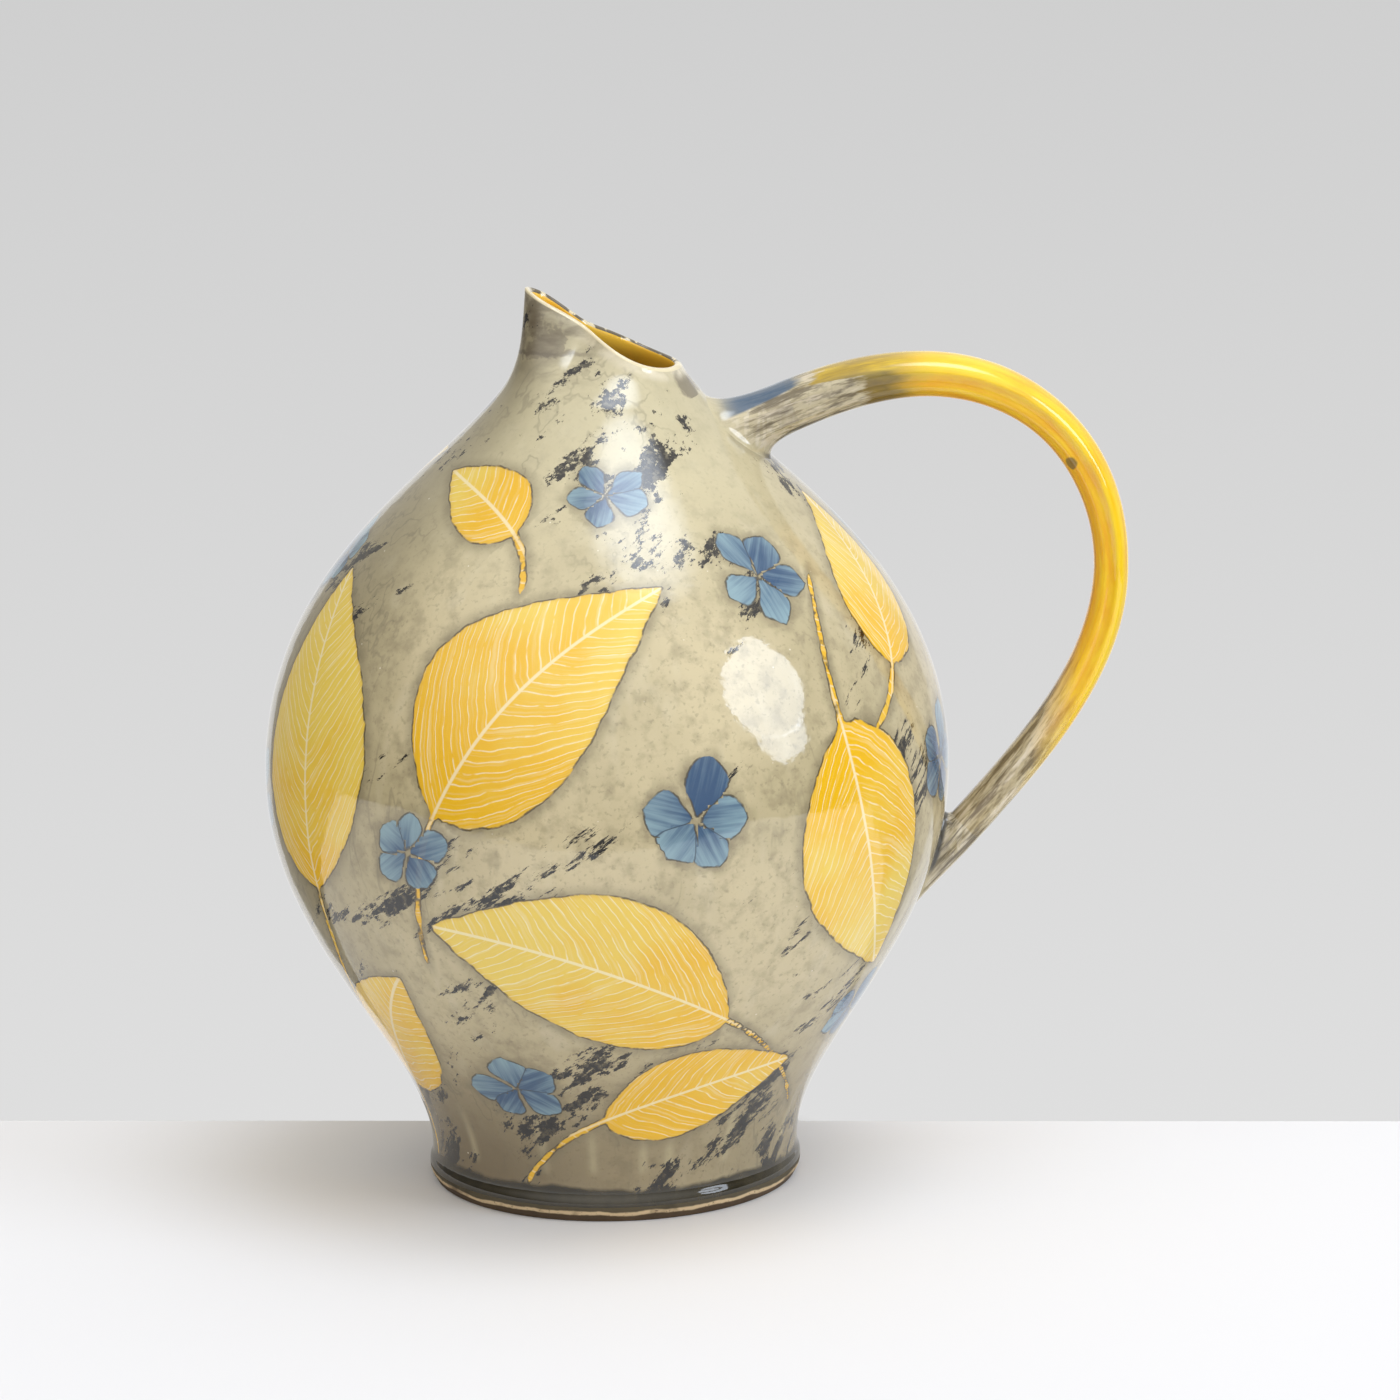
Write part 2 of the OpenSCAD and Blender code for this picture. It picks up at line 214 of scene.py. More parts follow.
# %% Outline of the body
foot_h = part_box("thrown_body")[0].z
neck_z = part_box("thrown_body")[1].z
belly_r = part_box("thrown_body")[1].x
spread_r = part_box("foot_ring")[1].x
foot_spread = 1.5 * MM
foot_r = spread_r - foot_spread
waist_in = 1 * MM
waist_r = spread_r - waist_in
waist_rise = 5 * MM
waist_z = foot_h + waist_rise
shoulder_h = 120 * MM
belly_z = neck_z - shoulder_h
bowl_spring = 34 * MM
bowl_fullness = 54 * MM
shoulder_fullness = 64 * MM
neck_r = 31.5 * MM
neck_sweep = 35 * MM
neck_slope = np.radians(51)
outline_curves = [
    [[spread_r, foot_h], [spread_r, foot_h + waist_rise / 2],
     [waist_r, waist_z - waist_rise / 2], [waist_r, waist_z]],
    [[waist_r, waist_z], [waist_r, waist_z + bowl_spring],
     [belly_r, belly_z - bowl_fullness], [belly_r, belly_z]],
    [[belly_r, belly_z], [belly_r, belly_z + shoulder_fullness],
     [neck_r + neck_sweep * np.cos(neck_slope), neck_z - neck_sweep * np.sin(neck_slope)],
     [neck_r, neck_z]]]
outline = chain(outline_curves, (40, 400, 400))
outline_r, outline_z = outline.T
outline_s = np.concatenate([[0], np.cumsum(np.linalg.norm(np.diff(outline, axis=0), axis=1))])


def body_radius(z):
    """Radius of the outer surface at a height, read along the outline."""
    return np.interp(z, outline_z, outline_r)


print(f"outline {outline_s[-1] / MM:.0f} mm long, belly {2 * belly_r / MM:.0f} mm across")

# %% [markdown]
# ## The hollow
# The wall tapers evenly from the foot to the neck joint, and the inside follows the outside at that
# distance. A round cove joins the wall to the floor, as a potter's finger leaves it. The liner glaze
# is a thin second skin on the same inside.

# %% Inside of the body
foot_wall = 6 * MM
neck_wall = 4 * MM
floor_t = 7 * MM
floor_z = foot_h + floor_t
cove_r = 12 * MM
liner_t = 0.6 * MM
FLOOR_ROWS, COVE_ROWS, WALL_ROWS = 4, 9, 26


def hollow(depth, floor_at, cove):
    """The inside's outline from the floor's centre to the neck joint: the outer outline moved in by the
    wall and a depth, at right angles to it, down to a quarter circle that runs into the floor."""
    wall = foot_wall + (neck_wall - foot_wall) * (outline_z - foot_h) / (neck_z - foot_h) + depth
    slope = np.gradient(outline, axis=0, edge_order=2)
    inside = outline_r - wall * np.linalg.norm(slope, axis=1) / slope[:, 1]
    cove_top = floor_z + cove_r
    wall_r = np.interp(cove_top, outline_z, inside)
    a = np.linspace(0, np.pi / 2, COVE_ROWS)
    floor = np.stack([np.linspace(0, wall_r - cove, FLOOR_ROWS), np.full(FLOOR_ROWS, floor_at)], 1)
    bend = np.stack([wall_r - cove + cove * np.sin(a), floor_at + cove * (1 - np.cos(a))], 1)
    heights = np.linspace(cove_top, neck_z, WALL_ROWS)[1:]
    side = np.stack([np.interp(heights, outline_z, inside), heights], 1)
    return np.concatenate([floor[:-1], bend, side])


inside = hollow(0, floor_z, cove_r)
coat = hollow(liner_t, floor_z + liner_t, cove_r - liner_t)
print(f"neck opening {2 * inside[-1, 0] / MM:.1f} mm, inside the coat {2 * coat[-1, 0] / MM:.1f} mm")

# %% [markdown]
# ## The thrown body
# A hand-thrown wall is never quite true: it strays by about a tenth of a millimetre in slow waves,
# and the glaze shows this by bending reflections. Above the foot the glaze has run down in soft beads.
# A bump in the material would show both only in the shading, so they are added to the grid itself. The
# waves fade out at the foot and the neck so that the joints stay closed.

# %% Body grid
BODY_COLUMNS = 400
OUTSIDE_ROWS = (10, 90, 104)
WAVE_CLIMB, RING_SPACING = 90 * MM, 19 * MM
RUN_HALF, RUN_HEIGHT = 1.5 * MM, 0.22 * MM
# Each glaze run: its turn from the front in degrees, and the height in mm that it starts from
glaze_runs = [[-47, 40], [-21, 62], [-6, 44], [9, 70], [17, 48], [36, 58], [63, 46], [98, 52],
              [131, 66], [160, 45], [-166, 57], [-139, 48], [-112, 64], [-78, 47]]


def stray(angle, z):
    """How far the wall strays outwards: two slow waves round the jug that turn as they climb, and
    throwing rings 19 mm apart, all faded out towards the foot and the neck."""
    waves = (0.10 * np.sin(2 * angle + 0.8) + 0.05 * np.sin(3 * angle - 2 * np.pi * z / WAVE_CLIMB)
             + 0.035 * np.sin(2 * np.pi * z / RING_SPACING + 1.5 * np.sin(angle)))
    return MM * waves * ease(z, 14 * MM, 45 * MM) * (1 - ease(z, 205 * MM, 232 * MM))


def run_share(angle, z):
    """How much of a glaze run lies at a place, from 0 to 1: bell curves 3 mm wide across each run, which
    swell from its start down to a soft bead above the foot."""
    total = 0
    for turn, start in glaze_runs:
        aside = (angle - np.radians(turn - 90) + np.pi) % (2 * np.pi) - np.pi
        fall = (1 - ease(z, 20 * MM, start * MM)) * ease(z, waist_z + 4 * MM, waist_z + 8 * MM)
        total = total + fall * np.exp(-(aside * body_radius(z) / RUN_HALF) ** 2)
    return total


under = np.stack([np.linspace(0, spread_r, 4), np.full(4, foot_h)], 1)[:-1]
outside = chain(outline_curves, OUTSIDE_ROWS)
body_grid = turned(np.concatenate([under, outside, inside[::-1]]), BODY_COLUMNS)
first, last = len(under), len(under) + len(outside) - 1
shell = body_grid[first:last + 1]
shell_angle = np.linspace(0, 2 * np.pi, BODY_COLUMNS, endpoint=False)
shell_out = np.stack([np.cos(shell_angle), np.sin(shell_angle), 0 * shell_angle], -1)
rise_out = stray(shell_angle, shell[..., 2]) + RUN_HEIGHT * run_share(shell_angle, shell[..., 2])
shell += rise_out[..., None] * shell_out
body = skin("jug_body", body_grid, edges=(first, last, last + 1))

# %% [markdown]
# ## The foot ring
# The ring that the jug stands on is turned from the same clay and left bare. Its lower edges are
# softened with a wet sponge, so the profile has a small round at the outside and a larger one
# inside, where a solid would have sharp corners.

# %% Foot ring grid
RING_COLUMNS = 300
ring_w = 10 * MM
ring_in = foot_r - ring_w
inner_round = 1.5 * MM
outer_round = 0.7 * MM
quarter = np.linspace(0, np.pi / 2, 7)
ring_top = np.stack([np.linspace(spread_r, ring_in, 5), np.full(5, foot_h)], 1)
ring_wall = np.stack([np.full(3, ring_in), np.linspace(foot_h, inner_round, 4)[1:]], 1)
ring_inner = np.stack([ring_in + inner_round * (1 - np.cos(quarter)),
                       inner_round * (1 - np.sin(quarter))], 1)[1:]
ring_face = np.stack([np.linspace(ring_in + inner_round, foot_r - outer_round, 6), np.zeros(6)], 1)[1:]
ring_outer = np.stack([foot_r - outer_round * (1 - np.sin(quarter)),
                       outer_round * (1 - np.cos(quarter))], 1)[1:]
ring_side = cubic([[foot_r, outer_round], [foot_r + 0.6 * MM, foot_h / 3],
                   [spread_r, foot_h / 2], [spread_r, foot_h]], np.linspace(0, 1, 10))[1:-1]
ring_profile = np.concatenate([ring_top, ring_wall, ring_inner, ring_face, ring_outer, ring_side])
foot = skin("foot_ring_clay", turned(ring_profile, RING_COLUMNS), edges=(len(ring_top) - 1,), ring=True)

# %% [markdown]
# ## The beak
# The neck is a thrown collar whose front was pinched between finger and thumb into a pouring beak.
# Its rim swoops up from the back to the tip. The rim could be cut from a tube with a curved plane, but
# the pinch changes its plan as well, so its plan is four curves on one side, mirrored on the other, and
# its height follows from the way between the back and the tip.

# %% Rim of the beak
back_rise, tip_rise = 9.2 * MM, 33.9 * MM
mouth_back, mouth_offset, mouth_half = 25.4 * MM, 11 * MM, 18.5 * MM
pinch_x, pinch_half = -5.5 * MM, 6 * MM
beak_x, beak_half, tip_x = -16 * MM, 8.3 * MM, -22.5 * MM
QUARTER = 0.5523
RIM_STEPS = 56
rim_wave = 0.17 * MM
back_l, pinch_l = mouth_back - mouth_offset, mouth_offset - pinch_x
flare_l, tip_l = pinch_x - beak_x, beak_x - tip_x
rim_curves = [
    [[mouth_back, 0], [mouth_back, QUARTER * mouth_half],
     [mouth_offset + QUARTER * back_l, mouth_half], [mouth_offset, mouth_half]],
    [[mouth_offset, mouth_half], [mouth_offset - 0.55 * pinch_l, mouth_half],
     [pinch_x + 0.2 * pinch_l, pinch_half], [pinch_x, pinch_half]],
    [[pinch_x, pinch_half], [pinch_x - 0.35 * flare_l, pinch_half],
     [beak_x + 0.3 * flare_l, beak_half], [beak_x, beak_half]],
    [[beak_x, beak_half], [beak_x - QUARTER * tip_l, beak_half],
     [tip_x, QUARTER * beak_half], [tip_x, 0]]]


def rim(depth):
    """The rim moved into the wall by a depth: its plan on one side and mirrored on the other, lifted to a
    height that climbs with the square of the way from the back to the tip and eases off there. A wave of
    a third of a millimetre, lower on one side, keeps it from looking machined."""
    side = chain(rim_curves, (RIM_STEPS,) * len(rim_curves))
    slope = np.gradient(side, axis=0, edge_order=2)
    slope /= np.linalg.norm(slope, axis=1, keepdims=True)
    x = side[:, 0] - depth * slope[:, 1]
    y = side[:, 1] + depth * slope[:, 0]
    s = np.maximum(0, mouth_back - x) / (mouth_back - tip_x)
    z = neck_z + back_rise + (tip_rise - back_rise) * s * s * (2 - s)
    half = np.stack([x, y, z], 1)
    half[[0, -1], 1] = 0
    whole = np.concatenate([half, half[-2:0:-1] * [1, -1, 1]])
    round_way = np.linspace(0, 2 * np.pi, len(whole), endpoint=False)
    whole[:, 2] -= rim_wave * (1 + np.sin(3 * round_way + 0.6) * np.cos(2 * round_way))
    return whole


edge = rim(0)
steps = np.linalg.norm(np.diff(edge[:len(edge) // 2 + 1], axis=0), axis=1)
way = np.concatenate([[0], np.cumsum(steps)]) / steps.sum() * np.pi
beak_angle = np.concatenate([way, -way[-2:0:-1]])
print(f"rim {2 * steps.sum() / MM:.0f} mm round, tip {tip_rise / MM:.0f} mm above the neck joint")

# %% [markdown]
# ## The beak's walls and lip
# Each column of the grid is one curve that leaves the body at the body's own slope and ends at the rim,
# so no edge shows at the neck joint. The lip is a round that takes up the last millimetre of the outer
# and the inner wall. The inner wall flares a little at the mouth, as a finger leaves it, and so the wall
# is thickest half way down.

# %% Beak grid
lip_t = 2.0 * MM
lip_drop = 1.0 * MM
WALL_STEPS, LIP_STEPS = 40, 15
JOINT_PULL, LIP_PULL = 0.28, 0.4
OUTER_LEAN, INNER_LEAN = 1, -0.35
# Half way along a cubic curve, three quarters of its two pulls show
PULL_SHOWS = 0.75
back_lean, tip_lean = np.radians(28), np.radians(5)


def beak_wall(joint_r, depth, shares, lean_share):
    """Rows of a wall of the beak: cubic curves from the neck joint to the rim, which leave at the
    body's slope and arrive at a share of a lean between the tip's and the back's. Rows stop short of the
    rim by the lip's round."""
    top = rim(depth)
    rise = top[:, 2:] - neck_z
    out = np.stack([np.cos(beak_angle), np.sin(beak_angle), 0 * beak_angle], 1)
    up = np.array([0, 0, 1.0])
    root = joint_r * out + neck_z * up
    lean = lean_share * (tip_lean + (back_lean - tip_lean) * (1 + np.cos(beak_angle)) / 2)[:, None]
    sweep = JOINT_PULL * rise / np.sin(neck_slope)
    fall = LIP_PULL * rise / np.cos(lean)
    curve = [root, root + sweep * (np.sin(neck_slope) * up - np.cos(neck_slope) * out),
             top + fall * (np.sin(lean) * out - np.cos(lean) * up), top]
    short = 1 - lip_drop / (3 * LIP_PULL * rise[:, 0])
    return cubic(curve, shares[:, None] * short), top


shares = np.linspace(0, 1, WALL_STEPS)
outer_wall, outer_top = beak_wall(neck_r, 0, shares, OUTER_LEAN)
inner_wall, inner_top = beak_wall(inside[-1, 0], lip_t, shares[::2], INNER_LEAN)
lip_in, lip_out = inner_wall[-1], outer_wall[-1]
lip_curve = [lip_out, lip_out + (outer_top - lip_out) / PULL_SHOWS,
             lip_in + (inner_top - lip_in) / PULL_SHOWS, lip_in]
lip = cubic(lip_curve, np.linspace(0, 1, LIP_STEPS)[1:-1, None] * np.ones(len(edge)))
beak_grid = np.concatenate([outer_wall, lip, inner_wall[::-1]])
beak = skin("pinched_beak", beak_grid, edges=(len(beak_grid) - 1,), ring=True)

# %% [markdown]
# ## The liner glaze
# Earthenware is porous, so the inside has a coat of yellow glaze of its own. It was poured in and out,
# and at the mouth it runs over the lip and thins to nothing. The coat is the inner skin moved off the
# clay along its normals, with its back sunk a little into the clay so that no gap shows.

# %% Liner grids
COAT_COLUMNS = 240
body_coat = skin("body_liner_coat", turned(np.concatenate([inside, coat[::-1]]), COAT_COLUMNS),
                 edges=(len(inside) - 1, len(inside)))
# The coat starts on one of the lip's last rows
LIP_ROW = 11
over = len(outer_wall) + LIP_ROW
clay_side = beak_grid[over:]
away = grid_normals(beak_grid)[over:]
if np.sum(away[-1] * clay_side[-1] * [1, 1, 0]) > 0:
    away = -away
fallen = np.arange(len(clay_side)) / (len(clay_side) - 1)
edge_t, lip_coat_t, sunk = 0.02 * MM, 0.12 * MM, 0.1 * MM
thick = edge_t + (lip_coat_t - edge_t) * ease(fallen, 0, 0.2)
thick = thick + (liner_t - lip_coat_t) * ease(fallen, 0.3, 0.9)
coat_front = clay_side + thick[:, None, None] * away
coat_back = clay_side - sunk * away
beak_coat = skin("beak_liner_coat", np.concatenate([coat_front, coat_back[::-1]]),
                 edges=(len(clay_side) - 1, len(clay_side)), ring=True)

# %% [markdown]
# ## The handle
# The handle was pulled from a lump of wet clay: a strap with a broad outer face that ends in a crisp edge
# on each side, with a groove and a soft ridge under it where the fingers ran, thinning towards its tail.
# It is a section carried along a path of three curves, turned at each step so that its first point stays
# outside the loop.

# %% Handle path and grid
upper_root_z = neck_z - 12 * MM
lower_root_z = belly_z - 34 * MM
upper_wad_l, lower_wad_l = 19 * MM, 18 * MM
upper_slope, tail_slope = np.radians(22), np.radians(48)
crest_x, crest_rise = 100 * MM, 16 * MM
grip_gap, far_drop = 46 * MM, 61 * MM
fall_spring, tail_spring = 31 * MM, 37 * MM
upper_t, crest_t, far_t, tail_t = 16 * MM, 14 * MM, 11 * MM, 11.5 * MM
upper_w, tail_w = 18 * MM, 14 * MM
upper_dir = np.array([np.cos(upper_slope), np.sin(upper_slope)])
lower_dir = np.array([np.cos(tail_slope), np.sin(tail_slope)])
upper_end = np.array([body_radius(upper_root_z), upper_root_z]) + upper_wad_l * upper_dir
lower_end = np.array([body_radius(lower_root_z), lower_root_z]) + lower_wad_l * lower_dir
crest = np.array([crest_x, upper_root_z + crest_rise])
far = np.array([belly_r + grip_gap + far_t / 2, crest[1] - far_drop])
lead = np.linalg.norm(crest - upper_end) / 3
TURN_SQUARE = 0.58
handle_curves = [
    [upper_end, upper_end + lead * upper_dir, crest - [lead, 0], crest],
    [crest, [crest[0] + TURN_SQUARE * (far[0] - crest[0]), crest[1]],
     [far[0], far[1] + TURN_SQUARE * (crest[1] - far[1])], far],
    [far, far - [0, fall_spring], lower_end + tail_spring * lower_dir, lower_end]]
HANDLE_ROWS, HANDLE_COLUMNS = 60, 180
path = chain(handle_curves, (HANDLE_ROWS,) * len(handle_curves))
path_share = np.linspace(0, len(handle_curves), len(path))
path_s = np.concatenate([[0], np.cumsum(np.linalg.norm(np.diff(path, axis=0), axis=1))])
handle_l = path_s[-1]
section_angle = np.linspace(0, 2 * np.pi, HANDLE_COLUMNS, endpoint=False)


def bell(angle, middle, above, below):
    """A bell curve of the angle from the outside of the loop, in degrees, the same on both sides. Its two
    flanks have their own widths."""
    off = np.degrees(np.abs((angle + np.pi) % (2 * np.pi) - np.pi)) - middle
    return np.exp(-(off / np.where(off < 0, above, below)) ** 2)


# Heights of the forms in mm, and their angles in degrees from the outside of the loop
crisp_edge = 0.85 * bell(section_angle, 76, 26, 9)
groove = 0.2 * bell(section_angle, 95, 8, 8)
soft_ridge = 0.35 * bell(section_angle, 114, 12, 14)
ridge = crisp_edge - groove + soft_ridge
SOFT_CORNER = 0.85


def strap(centre, heading, thick, wide):
    """Rings of the handle: soft-cornered ovals with a crisp edge and a soft ridge on each side and a
    groove between them, set across the heading at each centre, the first point outside the loop."""
    c, s = np.cos(section_angle), np.sin(section_angle)
    out = (thick[:, None] / 2 + ridge * MM) * np.sign(c) * np.abs(c) ** SOFT_CORNER
    side = (wide[:, None] / 2 + ridge * MM) * np.sign(s) * np.abs(s) ** SOFT_CORNER
    x = centre[:, :1] - heading[:, 1:] * out
    z = centre[:, 1:] + heading[:, :1] * out
    return np.stack([x, side, z], -1)


heading = np.gradient(path, axis=0, edge_order=2)
heading /= np.linalg.norm(heading, axis=1, keepdims=True)
squeeze, squeeze_gap = 0.12 * MM, 47 * MM
hand_wave = squeeze * np.sin(2 * np.pi * path_s / squeeze_gap) * np.sin(np.pi * path_s / handle_l)
strap_thick = np.interp(path_share, [0, 1, 2, 3], [upper_t, crest_t, far_t, tail_t]) + hand_wave
strap_wide = np.interp(path_share, [0, 3], [upper_w, tail_w]) - hand_wave
strap_rings = strap(path, heading, strap_thick, strap_wide)
pole = strap_rings.mean(1, keepdims=True) * np.ones((1, HANDLE_COLUMNS, 1))
handle = skin("pulled_handle_strap", np.concatenate([pole[:1], strap_rings, pole[-1:]]),
              edges=(1, len(strap_rings)))
print(f"handle {handle_l / MM:.0f} mm along its middle")

# %% [markdown]
# ## The handle's joints
# At each end the strap was pressed on with a wad of clay that was smeared out over the body. A boolean
# union with a rounded edge could stand for it, but it would lose the rulers that the brushwork follows.
# So each wad is a grid of curves that leave the strap's end along its own line and run out flat on the
# body. Their last ring is sunk half a millimetre, so the smear ends in a fine crease as on the fired jug.

# %% Wad grids
# The height and the width of each oval seat
upper_seat = (22.5 * MM, 30 * MM)
lower_seat = (38 * MM, 20 * MM)
WAD_ROWS, WAD_PULL, FLAT_FROM = 36, 0.45, 0.6
edge_sunk, heart_sunk = 0.5 * MM, 1.5 * MM


def on_body(y, z):
    """The point of the body's surface beside the handle at a distance y from its plane."""
    r = body_radius(z)
    return np.stack([np.sqrt(r * r - y * y), y, z], -1)


def store_ruler(piece, lengths):
    """Stores two rulers of the strap for the nodes: mm along it, and round it the cosine and sine of the
    section's angle and the height of the ridges in mm."""
    round_it = np.stack([np.cos(section_angle), np.sin(section_angle), ridge], 1)
    round_it = np.concatenate([[[0, 0, 0]], np.tile(round_it, (len(lengths), 1)), [[0, 0, 0]]])
    along = np.concatenate([lengths[:1], np.repeat(lengths, HANDLE_COLUMNS), lengths[-1:]]) / MM
    store(piece, "along", "FLOAT", "POINT", along)
    store(piece, "around", "FLOAT_VECTOR", "POINT", round_it)


def wad(name, face, along, root_z, seat_h, seat_w, up, start, way, reaches):
    """A wad from the strap's end ring to an oval seat on the body: cubic curves that start along the
    strap and end on the line from six tenths of the seat out to its edge. start and way carry on the
    strap's ruler over the wad. A crease of dark glaze is stored along the edge, within two millimetres of
    the body on the side that the loop of the handle closes in, as far round as the cosine it reaches."""
    y = seat_w / 2 * np.sin(section_angle)
    z = up * seat_h / 2 * np.cos(section_angle)
    seat = on_body(y, root_z + z)
    out = seat * [1, 1, 0]
    end = seat - edge_sunk * out / np.linalg.norm(out, axis=1, keepdims=True)
    inner = on_body(FLAT_FROM * y, root_z + FLAT_FROM * z)
    reach = WAD_PULL * np.linalg.norm(end - face, axis=1, keepdims=True)
    pull = (inner - end) * np.minimum(1, reach / np.linalg.norm(inner - end, axis=1, keepdims=True))
    shares = np.linspace(0, 1, WAD_ROWS)[:, None] * np.ones(len(face))
    rows = cubic([face, face + reach * along, end + pull, end], shares)
    heart = on_body(np.zeros(1), np.full(1, root_z)) - [heart_sunk, 0, 0]
    poles = [np.ones((1, len(face), 1)) * p for p in (face.mean(0), heart[0])]
    piece = skin(name, np.concatenate([poles[0], rows, poles[1]]), edges=(1, len(rows)))
    smear = np.linspace(0, 1, len(rows))
    store(piece, "smear", "FLOAT", "POINT", np.concatenate([[0], np.repeat(smear, len(face)), [1]]))
    lift = (np.hypot(rows[..., 0], rows[..., 1]) - body_radius(rows[..., 2])) / MM
    closed_in = 1 - ease(np.cos(section_angle), reaches - 0.3, reaches)
    crease = 0.9 * (1 - ease(lift, 0.9, 2.0)) * closed_in
    store(piece, "crease", "FLOAT", "POINT", np.concatenate([[0], crease.ravel(), [0]]))
    store_ruler(piece, start + way * smear)
    return piece


upper_wad = wad("upper_wad", strap_rings[0], np.array([-upper_dir[0], 0, -upper_dir[1]]),
                upper_root_z, *upper_seat, 1, 0, -upper_wad_l, -0.7)
lower_wad = wad("lower_wad", strap_rings[-1], np.array([-lower_dir[0], 0, -lower_dir[1]]),
                lower_root_z, *lower_seat, -1, handle_l, lower_wad_l, 0.25)
store_ruler(handle, path_s)

# %% [markdown]
# ## Laying out the painting
# The painting runs round the whole jug: yellow leaves, blue blossoms and dark brush flecks. A flat
# picture would stretch on a round wall, so each motif has its own little ruler on the surface, in
# millimetres along and across it. numpy works out, for every corner of the mesh, where it lies on the
# nearest leaf and the nearest blossom, and the nodes then draw with these numbers.

# %% Places on the body's surface
count = len(body.data.vertices)
spots = np.empty(count * 3)
body.data.vertices.foreach_get("co", spots)
spots = spots.reshape(-1, 3)
spot_r = np.hypot(spots[:, 0], spots[:, 1])
spot_turn = np.arctan2(spots[:, 0], -spots[:, 1])
spot_s = np.interp(spots[:, 2], outline_z, outline_s)
on_shell = np.abs(spot_r - body_radius(spots[:, 2])) < 1 * MM
print(f"{on_shell.sum()} of {count} points lie on the outer wall")


def local(turn, height, lean):
    """Millimetres to the right and towards the tip of motifs at a turn from the front and a height: the
    arc round the jug and the length up its outline, both turned by each motif's lean."""
    turn, height, lean = (np.asarray(v, float)[:, None] for v in (turn, height, lean))
    swing = (spot_turn - np.radians(turn) + np.pi) % (2 * np.pi) - np.pi
    right = spot_r * swing / MM
    up = (spot_s - np.interp(height * MM, outline_z, outline_s)) / MM
    lean = np.radians(lean)
    return right * np.cos(lean) - up * np.sin(lean), right * np.sin(lean) + up * np.cos(lean)


# %% [markdown]
# ## Leaves
# A leaf is a plain oval blade on a thin stem, laid on with a full brush. It could be cut out of the mesh,
# but then its edge would be as coarse as the faces. A formula for the distance to its edge gives the
# nodes a clean line at any size.

# %% Leaves
# Each leaf: turn from the front, height of its middle, lean of its tip, length, width, bend, and depth
# of yellow. Angles are in degrees and lengths in mm.
leaves = np.array([
    [-61, 160, -12, 104, 60, 7, 0.25],
    [-14, 180, 42, 98, 58, -7, 0.6],
    [-4, 94, -68, 100, 56, 8, 0.35],
    [50, 116, 160, 94, 54, 7, 0.5],
    [-56, 62, 34, 66, 38, -4, 0.65],
    [74, 198, 24, 66, 38, 4, 0.35],
    [24, 46, 74, 64, 36, -4, 0.8],
    [-40, 228, -64, 44, 26, 3, 0.55],
    [104, 86, -35, 92, 54, 5, 0.55],
    [122, 170, 40, 92, 54, -5, 0.25],
    [152, 84, 160, 92, 54, 6, 0.7],
    [-176, 158, -22, 102, 60, -6, 0.35],
    [-152, 78, 62, 88, 50, 6, 0.5],
    [-124, 168, -48, 94, 56, 5, 0.75],
    [-100, 92, 158, 92, 54, -5, 0.3],
    [160, 224, 70, 48, 28, 3, 0.5],
    [-110, 226, 60, 46, 27, 3, 0.5]])
LEAF_FULLNESS, PETAL_FULLNESS = 0.72, 1.45
BLUNT = 0.9
STEM_HALF, STEM_SHARE, STEM_CURL = 1.2, 0.42, 8.8


def blade(across, along, length, half, fullness):
    """Millimetres outside the edge of a blade: its half width is a sine of the share of its length raised
    to a power, which sets where it is fullest. The sine is raised to a power too, for blunter ends."""
    def edge_at(share):
        return half * np.sin(np.pi * np.clip(share, 0, 1) ** fullness) ** BLUNT
    tilt = (edge_at(along / length + 0.01) - edge_at(along / length - 0.01)) / (0.02 * length)
    past = np.maximum(np.maximum(-along, along - length), 0)
    beside = (np.abs(across) - edge_at(along / length)) / np.sqrt(1 + tilt ** 2)
    return np.where(past > 0, np.hypot(across, past), beside)


def leaf_fields():
    """For every leaf and point, in mm: the way along it, the way across it, and the distance outside
    its edge, where a thin curling stem counts as part of the leaf."""
    length, width, bend = leaves.T[3:6, :, None]
    across, along = local(*leaves.T[:3])
    along = along + length / 2
    share = along / length
    across = across + bend * (2 * share - 1) ** 2
    stem_l = STEM_SHARE * length
    curl = STEM_CURL * bend * np.minimum(share, 0) ** 2
    stem = np.hypot(across + curl, np.maximum(np.maximum(-stem_l - along, along), 0)) - STEM_HALF
    return along, across, np.minimum(blade(across, along, length, width / 2, LEAF_FULLNESS), stem)


print(f"{len(leaves)} leaves from {leaves[:, 3].min():.0f} to {leaves[:, 3].max():.0f} mm long")

# %% [markdown]
# ## Blossoms
# A blossom is five petals, each one press of the brush, so no two are quite alike. The same blade formula
# serves for a petal, and a seeded draw turns, stretches and deepens each one a little.

# %% Blossoms
# Each blossom: turn from the front, height, spin, length of its petals and depth of blue
blossoms = np.array([
    [15, 140, 10, 17, 0.8], [38, 206, 40, 15, 0.6], [-34, 128, 5, 14, 0.5], [76, 140, 25, 17, 0.9],
    [-24, 46, 60, 15, 0.7], [66, 62, 15, 15, 0.8], [2, 230, 50, 12, 0.7], [-84, 128, 30, 16, 0.6],
    [100, 206, 10, 15, 0.8], [128, 112, 45, 16, 0.6], [150, 192, 30, 15, 0.7], [-178, 84, 5, 16, 0.9],
    [-148, 206, 20, 15, 0.6], [-132, 112, 35, 17, 0.8], [-86, 204, 55, 14, 0.7], [-96, 38, 10, 15, 0.6],
    [128, 42, 30, 15, 0.8]])
PETALS = 5
draw = np.random.default_rng(5)
petal_grid = (len(blossoms), PETALS)
petal_turn = np.radians(360 / PETALS * np.arange(PETALS) + draw.uniform(-13, 13, petal_grid))
petal_l = blossoms[:, 3:4] * draw.uniform(0.85, 1.2, petal_grid)
